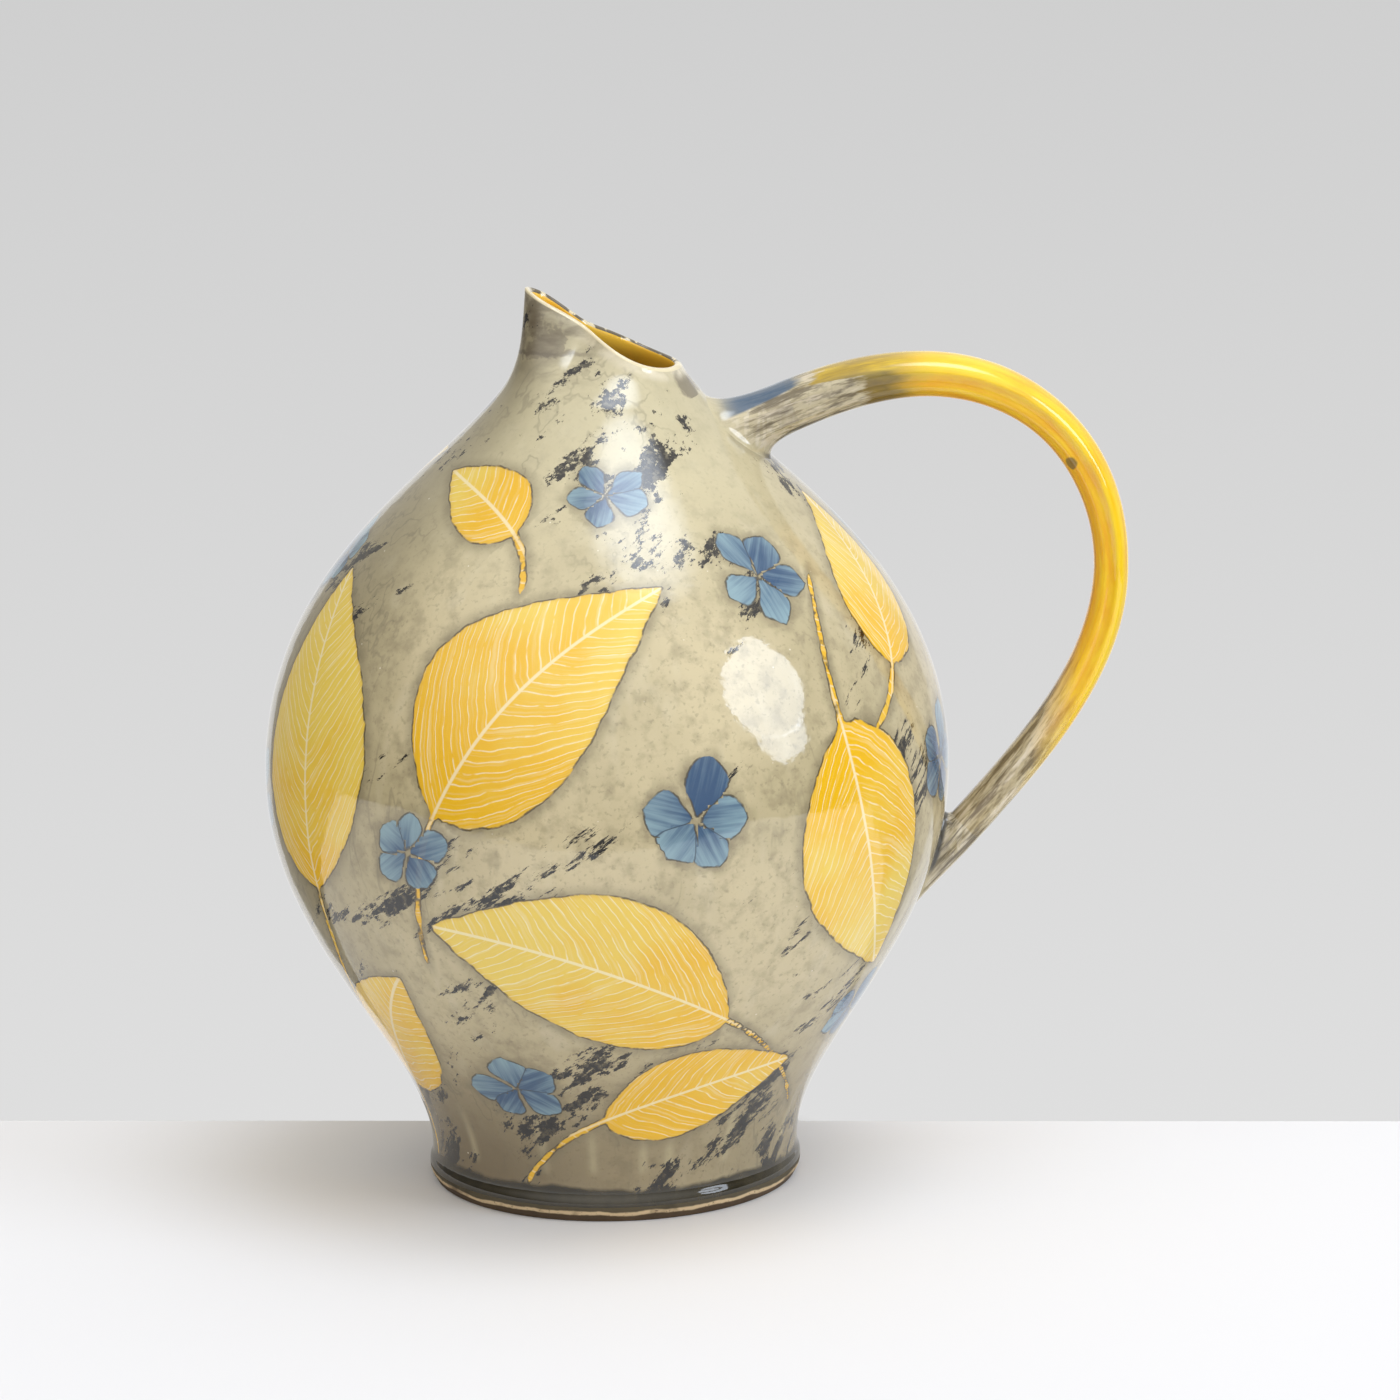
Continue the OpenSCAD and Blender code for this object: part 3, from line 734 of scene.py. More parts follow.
petal_half = blossoms[:, 3:4] * draw.uniform(0.34, 0.46, petal_grid)
petal_depth = blossoms[:, 4:5] + draw.uniform(-0.4, 0.4, petal_grid)
print(f"{len(blossoms)} blossoms with petals from {petal_l.min():.0f} to {petal_l.max():.0f} mm long")

# %% [markdown]
# ## Numbers for the nodes
# Each face belongs to the leaf and the petal that it lies nearest to. The numbers are stored for each
# corner of a face and not for each point, so that two faces beside each other can follow two leaves
# without a smear between them.

# %% Numbers for the nodes
mesh = body.data
corner_spot = np.empty(len(mesh.loops), int)
mesh.loops.foreach_get("vertex_index", corner_spot)
face_start, face_size = np.empty((2, len(mesh.polygons)), int)
mesh.polygons.foreach_get("loop_start", face_start)
mesh.polygons.foreach_get("loop_total", face_size)
corner_face = np.repeat(np.arange(len(mesh.polygons)), face_size)
corners = np.arange(len(mesh.loops))
FAR_OFF = 99.0


def nearest(at_corners):
    """The motif that each face lies nearest to, by the mean over its corners, as one number a corner."""
    mean = np.add.reduceat(at_corners, face_start, axis=1) / face_size
    return np.argmin(mean, axis=0)[corner_face]


on_wall = on_shell[corner_spot]
leaf_along, leaf_across, leaf_outside = (field[:, corner_spot] for field in leaf_fields())
leaf_here = nearest(leaf_outside)
store(body, "leaf", "FLOAT_VECTOR", "CORNER", np.stack([
    leaf_along[leaf_here, corners], leaf_across[leaf_here, corners],
    np.where(on_wall, leaf_outside[leaf_here, corners], FAR_OFF)], 1))
leaf_length, leaf_deep = leaves[leaf_here[face_start]][:, [3, 6]].T
store(body, "leaf_length", "FLOAT", "FACE", leaf_length)
store(body, "leaf_deep", "FLOAT", "FACE", leaf_deep)

right, up = (field[:, corner_spot] for field in local(*blossoms.T[:3]))
blossom_here = nearest(np.hypot(right, up))
right, up = right[blossom_here, corners], up[blossom_here, corners]
turn, length, half, depth = (
    part[blossom_here].T for part in (petal_turn, petal_l, petal_half, petal_depth))
petal_along = right * np.sin(turn) + up * np.cos(turn)
petal_across = right * np.cos(turn) - up * np.sin(turn)
petal_outside = blade(petal_across, petal_along, length, half, PETAL_FULLNESS)
petal_here = nearest(petal_outside)
others = petal_outside.copy()
others[petal_here, corners] = FAR_OFF
petal_beside = nearest(others)
store(body, "petal", "FLOAT_VECTOR", "CORNER", np.stack([
    (petal_along / length)[petal_here, corners], petal_across[petal_here, corners],
    np.where(on_wall, petal_outside[petal_here, corners], FAR_OFF)], 1))
store(body, "petal_split", "FLOAT", "CORNER",
      others[petal_beside, corners] - petal_outside[petal_here, corners])
store(body, "petal_deep", "FLOAT", "FACE", depth[petal_here, corners][face_start])
store(body, "beside_deep", "FLOAT", "FACE", depth[petal_beside, corners][face_start])
bare_faces = ~np.logical_and.reduceat(on_wall, face_start)
mesh.polygons.foreach_set("material_index", bare_faces.astype(np.int32))
print(f"{bare_faces.sum()} faces under the foot and inside are bare clay")

# %% [markdown]
# ## Where glaze pools
# Glaze runs while it melts, and it lies thicker and darker in a crease. One number from 0 to 1 says
# how deep it pools: in the hollow above the foot and round the seats of the handle's wads. On the beak
# another number gives the distance from the lip, where the glaze thins and breaks to cream.

# %% Pooling and thinning


def seat_distance(root_z, seat_h, seat_w, side):
    """Millimetres outside the oval seat of a wad for every point of the body, on the upper or lower side
    of the seat that the loop of the handle closes in."""
    share = np.hypot(spots[:, 1] / (seat_w / 2), (spots[:, 2] - root_z) / (seat_h / 2))
    gap = (share - 1) * np.minimum(seat_h, seat_w) / 2 / MM
    open_side = 12 * (1 - ease(side * (spots[:, 2] - root_z) / (seat_h / 2), -0.55, 0.15))
    return np.where(spots[:, 0] > 0, gap + open_side, FAR_OFF)


upper_pool = 0.3 * (1 - ease(seat_distance(upper_root_z, *upper_seat, -1), 0.2, 3.0))
lower_pool = 0.9 * (1 - ease(seat_distance(lower_root_z, *lower_seat, 1), 0.2, 2.0))
store(body, "pool", "FLOAT", "POINT", np.maximum(upper_pool, lower_pool))
runs_here = np.where(on_shell, run_share(np.arctan2(spots[:, 1], spots[:, 0]), spots[:, 2]), 0)
store(body, "run", "FLOAT", "POINT", runs_here)
below_lip = np.linalg.norm(outer_wall - (outer_top + inner_top) / 2, axis=-1) / MM
rest = np.zeros((len(beak_grid) - len(outer_wall), len(edge)))
store(beak, "below_lip", "FLOAT", "POINT", np.concatenate([below_lip, rest]))
print("pooling is stored on the body, and the distance from the lip on the beak")

# %% [markdown]
# ## Painted ground under clear glaze
# The ground is a warm grey slip brushed over the clay in cloudy washes, with darker hair lines and
# flecks where a dry brush dragged. The clear glaze over it is smooth and very shiny. The washes are
# noise at several real sizes, all on Object coordinates, so they run on from the body to the beak and
# the wads without a break.

# %% Ground washes


def ground(n):
    """Colour of the brushed ground, the place on the jug and a fine mottle, from noise at real sizes. It
    is paler at the neck, partly as a painted light on the shoulder, has painted shade towards the beak's
    and the handle's sides, and is browner near the foot; its extra depth on the beak's side is painted
    shade under the belly. Pale dots in pinholes are painted glints."""
    place = n("TexCoord")["Object"]
    spot = n("SeparateXYZ", {0: place})
    cloud = n("TexNoise", {"Vector": place, "Scale": 1 / (52 * MM), "Detail": 3.0})["Fac"]
    mottle = n("TexNoise", {"Vector": place, "Scale": 1 / (6 * MM), "Detail": 4.0, "Roughness": 0.6})["Fac"]
    grain = n("TexNoise", {"Vector": place, "Scale": 1 / (1.4 * MM), "Detail": 2.0})["Fac"]
    upright = n("Mapping", {"Vector": place, "Scale": (1, 1, 0.2)})[0]
    runs = n("TexNoise", {"Vector": upright, "Scale": 1 / (10 * MM), "Detail": 3.0})["Fac"]
    cloudy = n("MapRange", {0: cloud, 1: 0.36, 2: 0.66}, interpolation_type="SMOOTHSTEP")[0]
    colour = n("Mix", {0: cloudy, 6: linear("#cfc19b"), 7: linear("#baad88")}, data_type="RGBA")[2]
    dull = n("MapRange", {0: mottle, 1: 0.44, 2: 0.72, 4: 0.5}, interpolation_type="SMOOTHSTEP")[0]
    colour = n("Mix", {0: dull, 6: colour, 7: linear("#8f8366")}, data_type="RGBA")[2]
    pale = n("MapRange", {0: runs, 1: 0.54, 2: 0.74, 4: 0.4}, interpolation_type="SMOOTHSTEP")[0]
    colour = n("Mix", {0: pale, 6: colour, 7: linear("#d9ceae")}, data_type="RGBA")[2]
    speck = n("MapRange", {0: grain, 1: 0.56, 2: 0.72, 4: 0.38}, interpolation_type="SMOOTHSTEP")[0]
    colour = n("Mix", {0: speck, 6: colour, 7: linear("#8b8066")}, data_type="RGBA")[2]
    # Paler towards the neck: partly the ground's own tone, and partly a painted light on the shoulder, which
    # faces up
    high = n("MapRange", {0: spot[2], 1: neck_z - 70 * MM, 2: neck_z, 4: 0.6},
             interpolation_type="SMOOTHSTEP")[0]
    colour = n("Mix", {0: high, 6: colour, 7: linear("#d3cbaa")}, data_type="RGBA")[2]
    off_axis = n("VectorMath", {0: place, 1: (1, 1, 0)}, operation="MULTIPLY")[0]
    off_axis = n("VectorMath", {0: off_axis}, operation="LENGTH")["Value"]
    beakward = n("Math", {0: spot[0], 1: off_axis}, operation="DIVIDE")[0]
    # Painted shade: darker on the beak's side, away from the lamp, and a little darker on the handle's side
    # to tone down the lamp's light there
    painted_side_shade = n("MapRange", {0: beakward, 1: -0.55, 2: -0.98, 4: 0.6}, interpolation_type="SMOOTHSTEP")[0]
    colour = n("Mix", {0: painted_side_shade, 6: colour, 7: linear("#7a7055")}, data_type="RGBA")[2]
    painted_side_shade = n("MapRange", {0: beakward, 1: 0.35, 2: 0.95, 4: 0.2}, interpolation_type="SMOOTHSTEP")[0]
    colour = n("Mix", {0: painted_side_shade, 6: colour, 7: linear("#8d8162")}, data_type="RGBA")[2]
    low = n("MapRange", {0: spot[2], 1: waist_z + 75 * MM, 2: waist_z, 4: 0.72},
            interpolation_type="SMOOTHSTEP")[0]
    # Painted shade under the overhanging belly: the browning near the foot is deepened on the beak's side,
    # away from the lamp, and lessened on the handle's side
    painted_belly_shade = n("MapRange", {0: beakward, 1: 0.5, 2: -0.6, 3: 0.75, 4: 1.35})[0]
    low = n("Math", {0: low, 1: painted_belly_shade}, operation="MULTIPLY")[0]
    colour = n("Mix", {0: low, 6: colour, 7: linear("#74654a")}, data_type="RGBA")[2]
    off_line = n("Math", {0: runs, 1: 0.46}, operation="SUBTRACT")[0]
    off_line = n("Math", {0: off_line}, operation="ABSOLUTE")[0]
    trail = n("MapRange", {0: off_line, 1: 0.0, 2: 0.03, 3: 0.3, 4: 0.0}, interpolation_type="SMOOTHSTEP")[0]
    some = n("MapRange", {0: cloud, 1: 0.5, 2: 0.6}, interpolation_type="SMOOTHSTEP")[0]
    trail = n("Math", {0: trail, 1: some}, operation="MULTIPLY")[0]
    colour = n("Mix", {0: trail, 6: colour, 7: linear("#5f5849")}, data_type="RGBA")[2]
    # Pale dots in pinholes of the glaze, painted as the glints they catch
    pit = n("TexVoronoi", {"Vector": place, "Scale": 1 / (6.5 * MM)})
    chance = n("SeparateColor", {"Color": pit["Color"]})[0]
    pinhole_glint = n("Math", {0: chance, 1: 0.6}, operation="GREATER_THAN")[0]
    pit_size = n("MapRange", {0: pit["Distance"], 1: 0.03, 2: 0.05, 3: 0.8, 4: 0.0})[0]
    pinhole_glint = n("Math", {0: pinhole_glint, 1: pit_size}, operation="MULTIPLY")[0]
    colour = n("Mix", {0: pinhole_glint, 6: colour, 7: linear("#efe8d4")}, data_type="RGBA")[2]
    return colour, place, mottle


# Turn of the flecks in radians for each metre of height
FLECK_TWIST = 12.0


def brush_flecks(n, colour, place):
    """The ground with dark flecks of a dry brush, in clusters about 27 mm apart. The noise leans to the
    right as it climbs, because it is turned about the axis in step with the height, and it is stretched
    upwards. Each fleck is worn thin in spots 1.8 mm wide, and there are more of them near the foot and
    the neck."""
    height = n("SeparateXYZ", {0: place})[2]
    turn = n("Math", {0: height, 1: -FLECK_TWIST}, operation="MULTIPLY")[0]
    twisted = n("VectorRotate", {"Vector": place, "Angle": turn}, rotation_type="Z_AXIS")[0]
    dragged = n("Mapping", {"Vector": twisted, "Scale": (1, 1, 0.62)})[0]
    drag = n("TexNoise", {"Vector": dragged, "Scale": 1 / (6 * MM), "Detail": 8.0, "Roughness": 0.74})["Fac"]
    cluster = n("TexNoise", {"Vector": dragged, "Scale": 1 / (27 * MM), "Detail": 1.0})["Fac"]
    gather = n("MapRange", {0: cluster, 1: 0.42, 2: 0.68, 3: -0.14, 4: 0.1})[0]
    drag = n("Math", {0: drag, 1: gather}, operation="ADD")[0]
    low = n("MapRange", {0: height, 1: waist_z + 65 * MM, 2: waist_z + 15 * MM, 4: 0.05})[0]
    drag = n("Math", {0: drag, 1: low}, operation="ADD")[0]
    high = n("MapRange", {0: height, 1: neck_z - 38 * MM, 2: neck_z - 12 * MM, 4: 0.05})[0]
    drag = n("Math", {0: drag, 1: high}, operation="ADD")[0]
    dark = n("MapRange", {0: drag, 1: 0.586, 2: 0.604}, interpolation_type="SMOOTHSTEP")[0]
    worn = n("TexNoise", {"Vector": place, "Scale": 1 / (1.8 * MM), "Detail": 2.0})["Fac"]
    worn = n("MapRange", {0: worn, 1: 0.32, 2: 0.5, 3: 0.78, 4: 1.0})[0]
    dark = n("Math", {0: dark, 1: worn}, operation="MULTIPLY")[0]
    return n("Mix", {0: dark, 6: colour, 7: linear("#1e1d1d")}, data_type="RGBA")[2]


def clear_glaze(n, colour, place, mottle):
    """The shiny coat over a colour: a glossy shader, its surface uneven by a few hundredths of a
    millimetre in lumps 6 and 3.5 mm wide, as melted glaze lies. Lead in a glaze makes it bend light more
    than window glass does."""
    fine = n("TexNoise", {"Vector": place, "Scale": 1 / (3.5 * MM), "Detail": 1.0})["Fac"]
    lumps = n("Math", {0: mottle, 1: fine}, operation="ADD")[0]
    bump = n("Bump", {"Height": lumps, "Strength": 1.0, "Distance": 0.04 * MM})[0]
    shader = n("BsdfPrincipled", {"Base Color": colour, "Roughness": 0.045, "IOR": 1.75, "Normal": bump})[0]
    n("OutputMaterial", {"Surface": shader})


print("ground washes, flecks and glaze are ready")

# %% [markdown]
# ## Leaves and blossoms in the glaze
# The leaves were laid on in yellow with pale veins drawn through the wet colour, and the blossoms are
# watery blue. Colour gathers along the edge of a wash, so each motif has a thin dark outline and the
# ground darkens softly round it.

# %% Painted body glaze


def painted_glaze():
    """Clear-glazed earthenware with painted leaves and blossoms: warm washes seen through deep gloss."""
    material, n = start_material("clear_glazed_painted_earthenware")
    colour, place, mottle = ground(n)
    wobble = n("TexNoise", {"Vector": place, "Scale": 1 / (6 * MM), "Detail": 3.0})["Fac"]
    wobble = n("MapRange", {0: wobble, 3: -1.3, 4: 1.3})[0]
    broken = n("TexNoise", {"Vector": place, "Scale": 1 / (4 * MM), "Detail": 2.0})["Fac"]
    broken = n("MapRange", {0: broken, 1: 0.3, 2: 0.5})[0]
    run = n("Attribute", attribute_name="run")["Fac"]
    run = n("Math", {0: run, 1: 0.45}, operation="MULTIPLY")[0]
    colour = n("Mix", {0: run, 6: colour, 7: linear("#c3b893")}, data_type="RGBA")[2]

    leaf = n("SeparateXYZ", {0: n("Attribute", attribute_name="leaf")["Vector"]})
    leaf_length = n("Attribute", attribute_name="leaf_length")["Fac"]
    leaf_deep = n("Attribute", attribute_name="leaf_deep")["Fac"]
    petal = n("SeparateXYZ", {0: n("Attribute", attribute_name="petal")["Vector"]})
    petal_deep = n("Attribute", attribute_name="petal_deep")["Fac"]
    beside_deep = n("Attribute", attribute_name="beside_deep")["Fac"]
    petal_split = n("Attribute", attribute_name="petal_split")["Fac"]
    leaf_gap = n("Math", {0: leaf[2], 1: wobble}, operation="ADD")[0]
    petal_gap = n("Math", {0: petal[2], 1: wobble}, operation="ADD")[0]

    gap = n("Math", {0: leaf_gap, 1: petal_gap}, operation="MINIMUM")[0]
    halo = n("MapRange", {0: gap, 1: 0.0, 2: 4.5, 3: 1.0, 4: 0.0}, interpolation_type="SMOOTHSTEP")[0]
    halo = n("Math", {0: halo, 1: mottle}, operation="MULTIPLY")[0]
    colour = n("Mix", {0: halo, 6: colour, 7: linear("#7a7056")}, data_type="RGBA")[2]
    colour = brush_flecks(n, colour, place)

    share = n("Math", {0: leaf[0], 1: leaf_length}, operation="DIVIDE")[0]
    deep = n("MapRange", {0: share, 1: 0.75, 2: 0.0, 3: -0.25, 4: 0.35})[0]
    deep = n("Math", {0: deep, 1: leaf_deep}, operation="ADD")[0]
    wash = n("TexNoise", {"Vector": place, "Scale": 1 / (22 * MM), "Detail": 3.0})["Fac"]
    deep = n("Math", {0: wash, 1: 1.2, 2: deep}, operation="MULTIPLY_ADD")[0]
    deep = n("MapRange", {0: deep, 1: 0.68, 2: 1.42}, interpolation_type="SMOOTHSTEP")[0]
    yellow = n("Mix", {0: deep, 6: linear("#f0d15a"), 7: linear("#f0bb14")}, data_type="RGBA")[2]

    beside = n("Math", {0: leaf[1]}, operation="ABSOLUTE")[0]
    sweep = n("Math", {0: beside, 1: -0.02, 2: -0.7}, operation="MULTIPLY_ADD")[0]
    slant = n("Math", {0: beside, 1: sweep, 2: leaf[0]}, operation="MULTIPLY_ADD")[0]
    shake = n("TexNoise", {"Vector": place, "Scale": 1 / (11 * MM), "Detail": 2.0})["Fac"]
    slant = n("Math", {0: shake, 1: 5.0, 2: slant}, operation="MULTIPLY_ADD")[0]
    brushed = n("CombineXYZ", {0: slant, 1: n("Math", {0: leaf[1], 1: 0.06}, operation="MULTIPLY")[0]})[0]
    brushed = n("TexNoise", {"Vector": brushed, "Scale": 0.55, "Detail": 3.0})["Fac"]
    brushed = n("MapRange", {0: brushed, 1: 0.5, 2: 0.72, 4: 0.36}, interpolation_type="SMOOTHSTEP")[0]
    yellow = n("Mix", {0: brushed, 6: yellow, 7: linear("#f9eabb")}, data_type="RGBA")[2]
    rib = n("Math", {0: slant, 1: 2.2}, operation="PINGPONG")[0]
    rib = n("MapRange", {0: rib, 1: 0.08, 2: 0.42, 3: 1.0, 4: 0.0}, interpolation_type="SMOOTHSTEP")[0]
    rib = n("Math", {0: rib, 1: broken}, operation="MULTIPLY")[0]
    middle = n("MapRange", {0: beside, 1: 0.3, 2: 0.75, 3: 1.0, 4: 0.0}, interpolation_type="SMOOTHSTEP")[0]
    vein = n("Math", {0: rib, 1: middle}, operation="MAXIMUM")[0]
    vein = n("Math", {0: vein, 1: 0.7}, operation="MULTIPLY")[0]
    yellow = n("Mix", {0: vein, 6: yellow, 7: linear("#fcf1cd")}, data_type="RGBA")[2]
    rim_wash = n("MapRange", {0: leaf_gap, 1: -1.8, 2: -0.2, 4: 0.4})[0]
    yellow = n("Mix", {0: rim_wash, 6: yellow, 7: linear("#e0b040")}, data_type="RGBA")[2]
    in_leaf = n("MapRange", {0: leaf_gap, 1: -0.12, 2: 0.12, 3: 1.0, 4: 0.0})[0]
    colour = n("Mix", {0: in_leaf, 6: colour, 7: yellow}, data_type="RGBA")[2]

    this_side = n("MapRange", {0: petal_split, 1: -0.1, 2: 0.1})[0]
    depth = n("Mix", {0: this_side, 2: beside_deep, 3: petal_deep})[0]
    own_streaks = n("Math", {0: depth, 1: 9.0}, operation="MULTIPLY")[0]
    streaks = n("CombineXYZ", {0: petal[1], 1: petal[0], 2: own_streaks})[0]
    streaks = n("TexNoise", {"Vector": streaks, "Scale": 0.7, "Detail": 4.0})["Fac"]
    watery = n("Math", {0: petal[0], 1: 0.5, 2: n("Math", {0: depth, 1: -0.5}, operation="MULTIPLY")[0]},
               operation="MULTIPLY_ADD")[0]
    watery = n("Math", {0: streaks, 1: 1.1, 2: watery}, operation="MULTIPLY_ADD")[0]
    watery = n("Math", {0: wash, 1: 0.9, 2: watery}, operation="MULTIPLY_ADD")[0]
    watery = n("MapRange", {0: watery, 1: 0.5, 2: 1.4}, interpolation_type="SMOOTHSTEP")[0]
    blue = n("Mix", {0: watery, 6: linear("#1d4a74"), 7: linear("#88a7b4")}, data_type="RGBA")[2]
    in_petal = n("MapRange", {0: petal_gap, 1: -0.12, 2: 0.12, 3: 0.96, 4: 0.0})[0]
    fold = n("Math", {0: petal_split}, operation="ABSOLUTE")[0]
    fold = n("MapRange", {0: fold, 1: 0.15, 2: 0.6, 3: 0.8, 4: 0.0}, interpolation_type="SMOOTHSTEP")[0]
    blue = n("Mix", {0: fold, 6: blue, 7: linear("#2a3f54")}, data_type="RGBA")[2]
    colour = n("Mix", {0: in_petal, 6: colour, 7: blue}, data_type="RGBA")[2]

    edge_gap = n("Math", {0: gap}, operation="ABSOLUTE")[0]
    line = n("MapRange", {0: edge_gap, 1: 0.12, 2: 0.45, 3: 0.85, 4: 0.0}, interpolation_type="SMOOTHSTEP")[0]
    line = n("Math", {0: line, 1: broken}, operation="MULTIPLY")[0]
    colour = n("Mix", {0: line, 6: colour, 7: linear("#423c30")}, data_type="RGBA")[2]

    height = n("SeparateXYZ", {0: place})[2]
    height = n("Math", {0: wobble, 1: 0.5 * MM, 2: height}, operation="MULTIPLY_ADD")[0]
    height = n("Math", {0: wash, 1: 7 * MM, 2: height}, operation="MULTIPLY_ADD")[0]
    band = n("MapRange", {0: height, 1: waist_z + 3.4 * MM, 2: waist_z + 5.2 * MM, 3: 1.0, 4: 0.0},
             interpolation_type="SMOOTHSTEP")[0]
    thin = n("MapRange", {0: mottle, 1: 0.4, 2: 0.7, 3: 1.0, 4: 0.9})[0]
    band = n("Math", {0: band, 1: thin}, operation="MULTIPLY")[0]
    seat_pool = n("Attribute", attribute_name="pool")["Fac"]
    pool = n("Math", {0: band, 1: seat_pool}, operation="MAXIMUM")[0]
    colour = n("Mix", {0: pool, 6: colour, 7: linear("#26210f")}, data_type="RGBA")[2]
    clear_glaze(n, colour, place, mottle)
    return material


painted = painted_glaze()
print(painted.name, "has", len(painted.node_tree.nodes), "nodes")

# %% [markdown]
# ## The beak and the wads
# Here the ground shows without motifs. On the beak it was brushed darker, and the glaze breaks to a
# cream line along the lip, with a pale band under it that is partly a painted highlight. On the wads the
# brush left blocks of grey, and the glaze is dark in the crease at the seat.

# %% Plain ground glazes


def mark(n, colour, place, mottle, centre, radius, hex_value):
    """A colour with one ragged mark of the brush on it, round a centre and of a radius in mm."""
    centre = tuple(c * MM for c in centre)
    away = n("VectorMath", {0: place, 1: centre}, operation="DISTANCE")["Value"]
    away = n("Math", {0: mottle, 1: radius * MM, 2: away}, operation="MULTIPLY_ADD")[0]
    inside_it = n("MapRange", {0: away, 1: 1.35 * radius * MM, 2: 1.6 * radius * MM, 3: 0.75, 4: 0.0})[0]
    return n("Mix", {0: inside_it, 6: colour, 7: linear(hex_value)}, data_type="RGBA")[2]


def grey_dabs(n, colour, place):
    """A colour with a few dabs of a grey brush on it: only the peaks of noise 18 mm wide, with clear edges
    that finer noise wears away."""
    dab = n("TexNoise", {"Vector": place, "Scale": 1 / (18 * MM), "Detail": 1.0})["Fac"]
    worn = n("TexNoise", {"Vector": place, "Scale": 1 / (1.5 * MM), "Detail": 2.0})["Fac"]
    dab = n("Math", {0: worn, 1: 0.12, 2: dab}, operation="MULTIPLY_ADD")[0]
    dab = n("MapRange", {0: dab, 1: 0.69, 2: 0.71, 4: 0.6})[0]
    return n("Mix", {0: dab, 6: colour, 7: linear("#756b5a")}, data_type="RGBA")[2]


def beak_glaze():
    """Clear-glazed earthenware brushed darker on the beak: a grey-brown wash over the tip whose lower edge
    dried as a darker line, dabs of grey behind it, and a lip where the glaze breaks to cream and is
    chipped dark on the far side. Below the lip a pale band is partly thin glaze and partly a painted
    highlight."""
    material, n = start_material("clear_glazed_brushed_earthenware")
    colour, place, mottle = ground(n)
    colour = grey_dabs(n, colour, place)
    colour = mark(n, colour, place, mottle, (27, -9, 256), 6, "#6a6050")
    spot = n("SeparateXYZ", {0: place})
    strokes = n("Mapping", {"Vector": place, "Rotation": (0, -0.3, 0), "Scale": (0.4, 1, 1)})[0]
    strokes = n("TexNoise", {"Vector": strokes, "Scale": 1 / (5 * MM), "Detail": 4.0})["Fac"]
    tipward = n("MapRange", {0: spot[0], 1: 8 * MM, 2: -14 * MM}, interpolation_type="SMOOTHSTEP")[0]
    above = n("Math", {0: mottle, 1: 5 * MM, 2: spot[2]}, operation="MULTIPLY_ADD")[0]
    above = n("Math", {0: above, 1: neck_z + 17 * MM}, operation="SUBTRACT")[0]
    washed = n("MapRange", {0: above, 1: 0.0, 2: 1.2 * MM, 3: 0.4, 4: 1.0})[0]
    washed = n("Math", {0: washed, 1: tipward}, operation="MULTIPLY")[0]
    from_joint = n("MapRange", {0: spot[2], 1: neck_z, 2: neck_z + 9 * MM},
                   interpolation_type="SMOOTHSTEP")[0]
    washed = n("Math", {0: washed, 1: from_joint}, operation="MULTIPLY")[0]
    cloud = n("MapRange", {0: strokes, 1: 0.38, 2: 0.62, 3: 0.25, 4: 0.9}, interpolation_type="SMOOTHSTEP")[0]
    washed = n("Math", {0: washed, 1: cloud}, operation="MULTIPLY")[0]
    colour = n("Mix", {0: washed, 6: colour, 7: linear("#665b49")}, data_type="RGBA")[2]
    edge_line = n("Math", {0: above}, operation="ABSOLUTE")[0]
    edge_line = n("MapRange", {0: edge_line, 1: 0.2 * MM, 2: 1.1 * MM, 3: 0.7, 4: 0.0},
                  interpolation_type="SMOOTHSTEP")[0]
    edge_line = n("Math", {0: edge_line, 1: tipward}, operation="MULTIPLY")[0]
    colour = n("Mix", {0: edge_line, 6: colour, 7: linear("#5f5546")}, data_type="RGBA")[2]
    colour = brush_flecks(n, colour, place)
    below = n("Attribute", attribute_name="below_lip")["Fac"]
    # Painted highlight: a pale band under the lip, widest at the back, partly thin glaze and partly the light
    # that the flared lip catches
    thin = n("MapRange", {0: below, 1: 6.5, 2: 2.2}, interpolation_type="SMOOTHSTEP")[0]
    thin = n("Math", {0: thin, 1: n("MapRange", {0: strokes, 1: 0.4, 2: 0.6, 3: 0.9, 4: 0.25})[0]},
             operation="MULTIPLY")[0]
    thin = n("Math", {0: thin, 1: n("MapRange", {0: tipward, 3: 1.0, 4: 0.35})[0]}, operation="MULTIPLY")[0]
    colour = n("Mix", {0: thin, 6: colour, 7: linear("#e9dfc6")}, data_type="RGBA")[2]
    ragged = n("Math", {0: strokes, 1: -1.0, 2: below}, operation="MULTIPLY_ADD")[0]
    cream = n("MapRange", {0: ragged, 1: 0.5, 2: 1.0, 3: 0.9, 4: 0.0}, interpolation_type="SMOOTHSTEP")[0]
    colour = n("Mix", {0: cream, 6: colour, 7: linear("#e9dcb8")}, data_type="RGBA")[2]
    chips = n("TexNoise", {"Vector": place, "Scale": 1 / (3.5 * MM), "Detail": 3.0})["Fac"]
    chips = n("MapRange", {0: chips, 1: 0.38, 2: 0.46, 4: 0.9})[0]
    far_side = n("MapRange", {0: spot[1], 1: 1 * MM, 2: 4 * MM})[0]
    on_lip = n("MapRange", {0: below, 1: 0.3, 2: 0.6, 3: 1.0, 4: 0.0})[0]
    chips = n("Math", {0: chips, 1: far_side}, operation="MULTIPLY")[0]
    chips = n("Math", {0: chips, 1: on_lip}, operation="MULTIPLY")[0]
    colour = n("Mix", {0: chips, 6: colour, 7: linear("#3a3022")}, data_type="RGBA")[2]
    clear_glaze(n, colour, place, mottle)
    return material


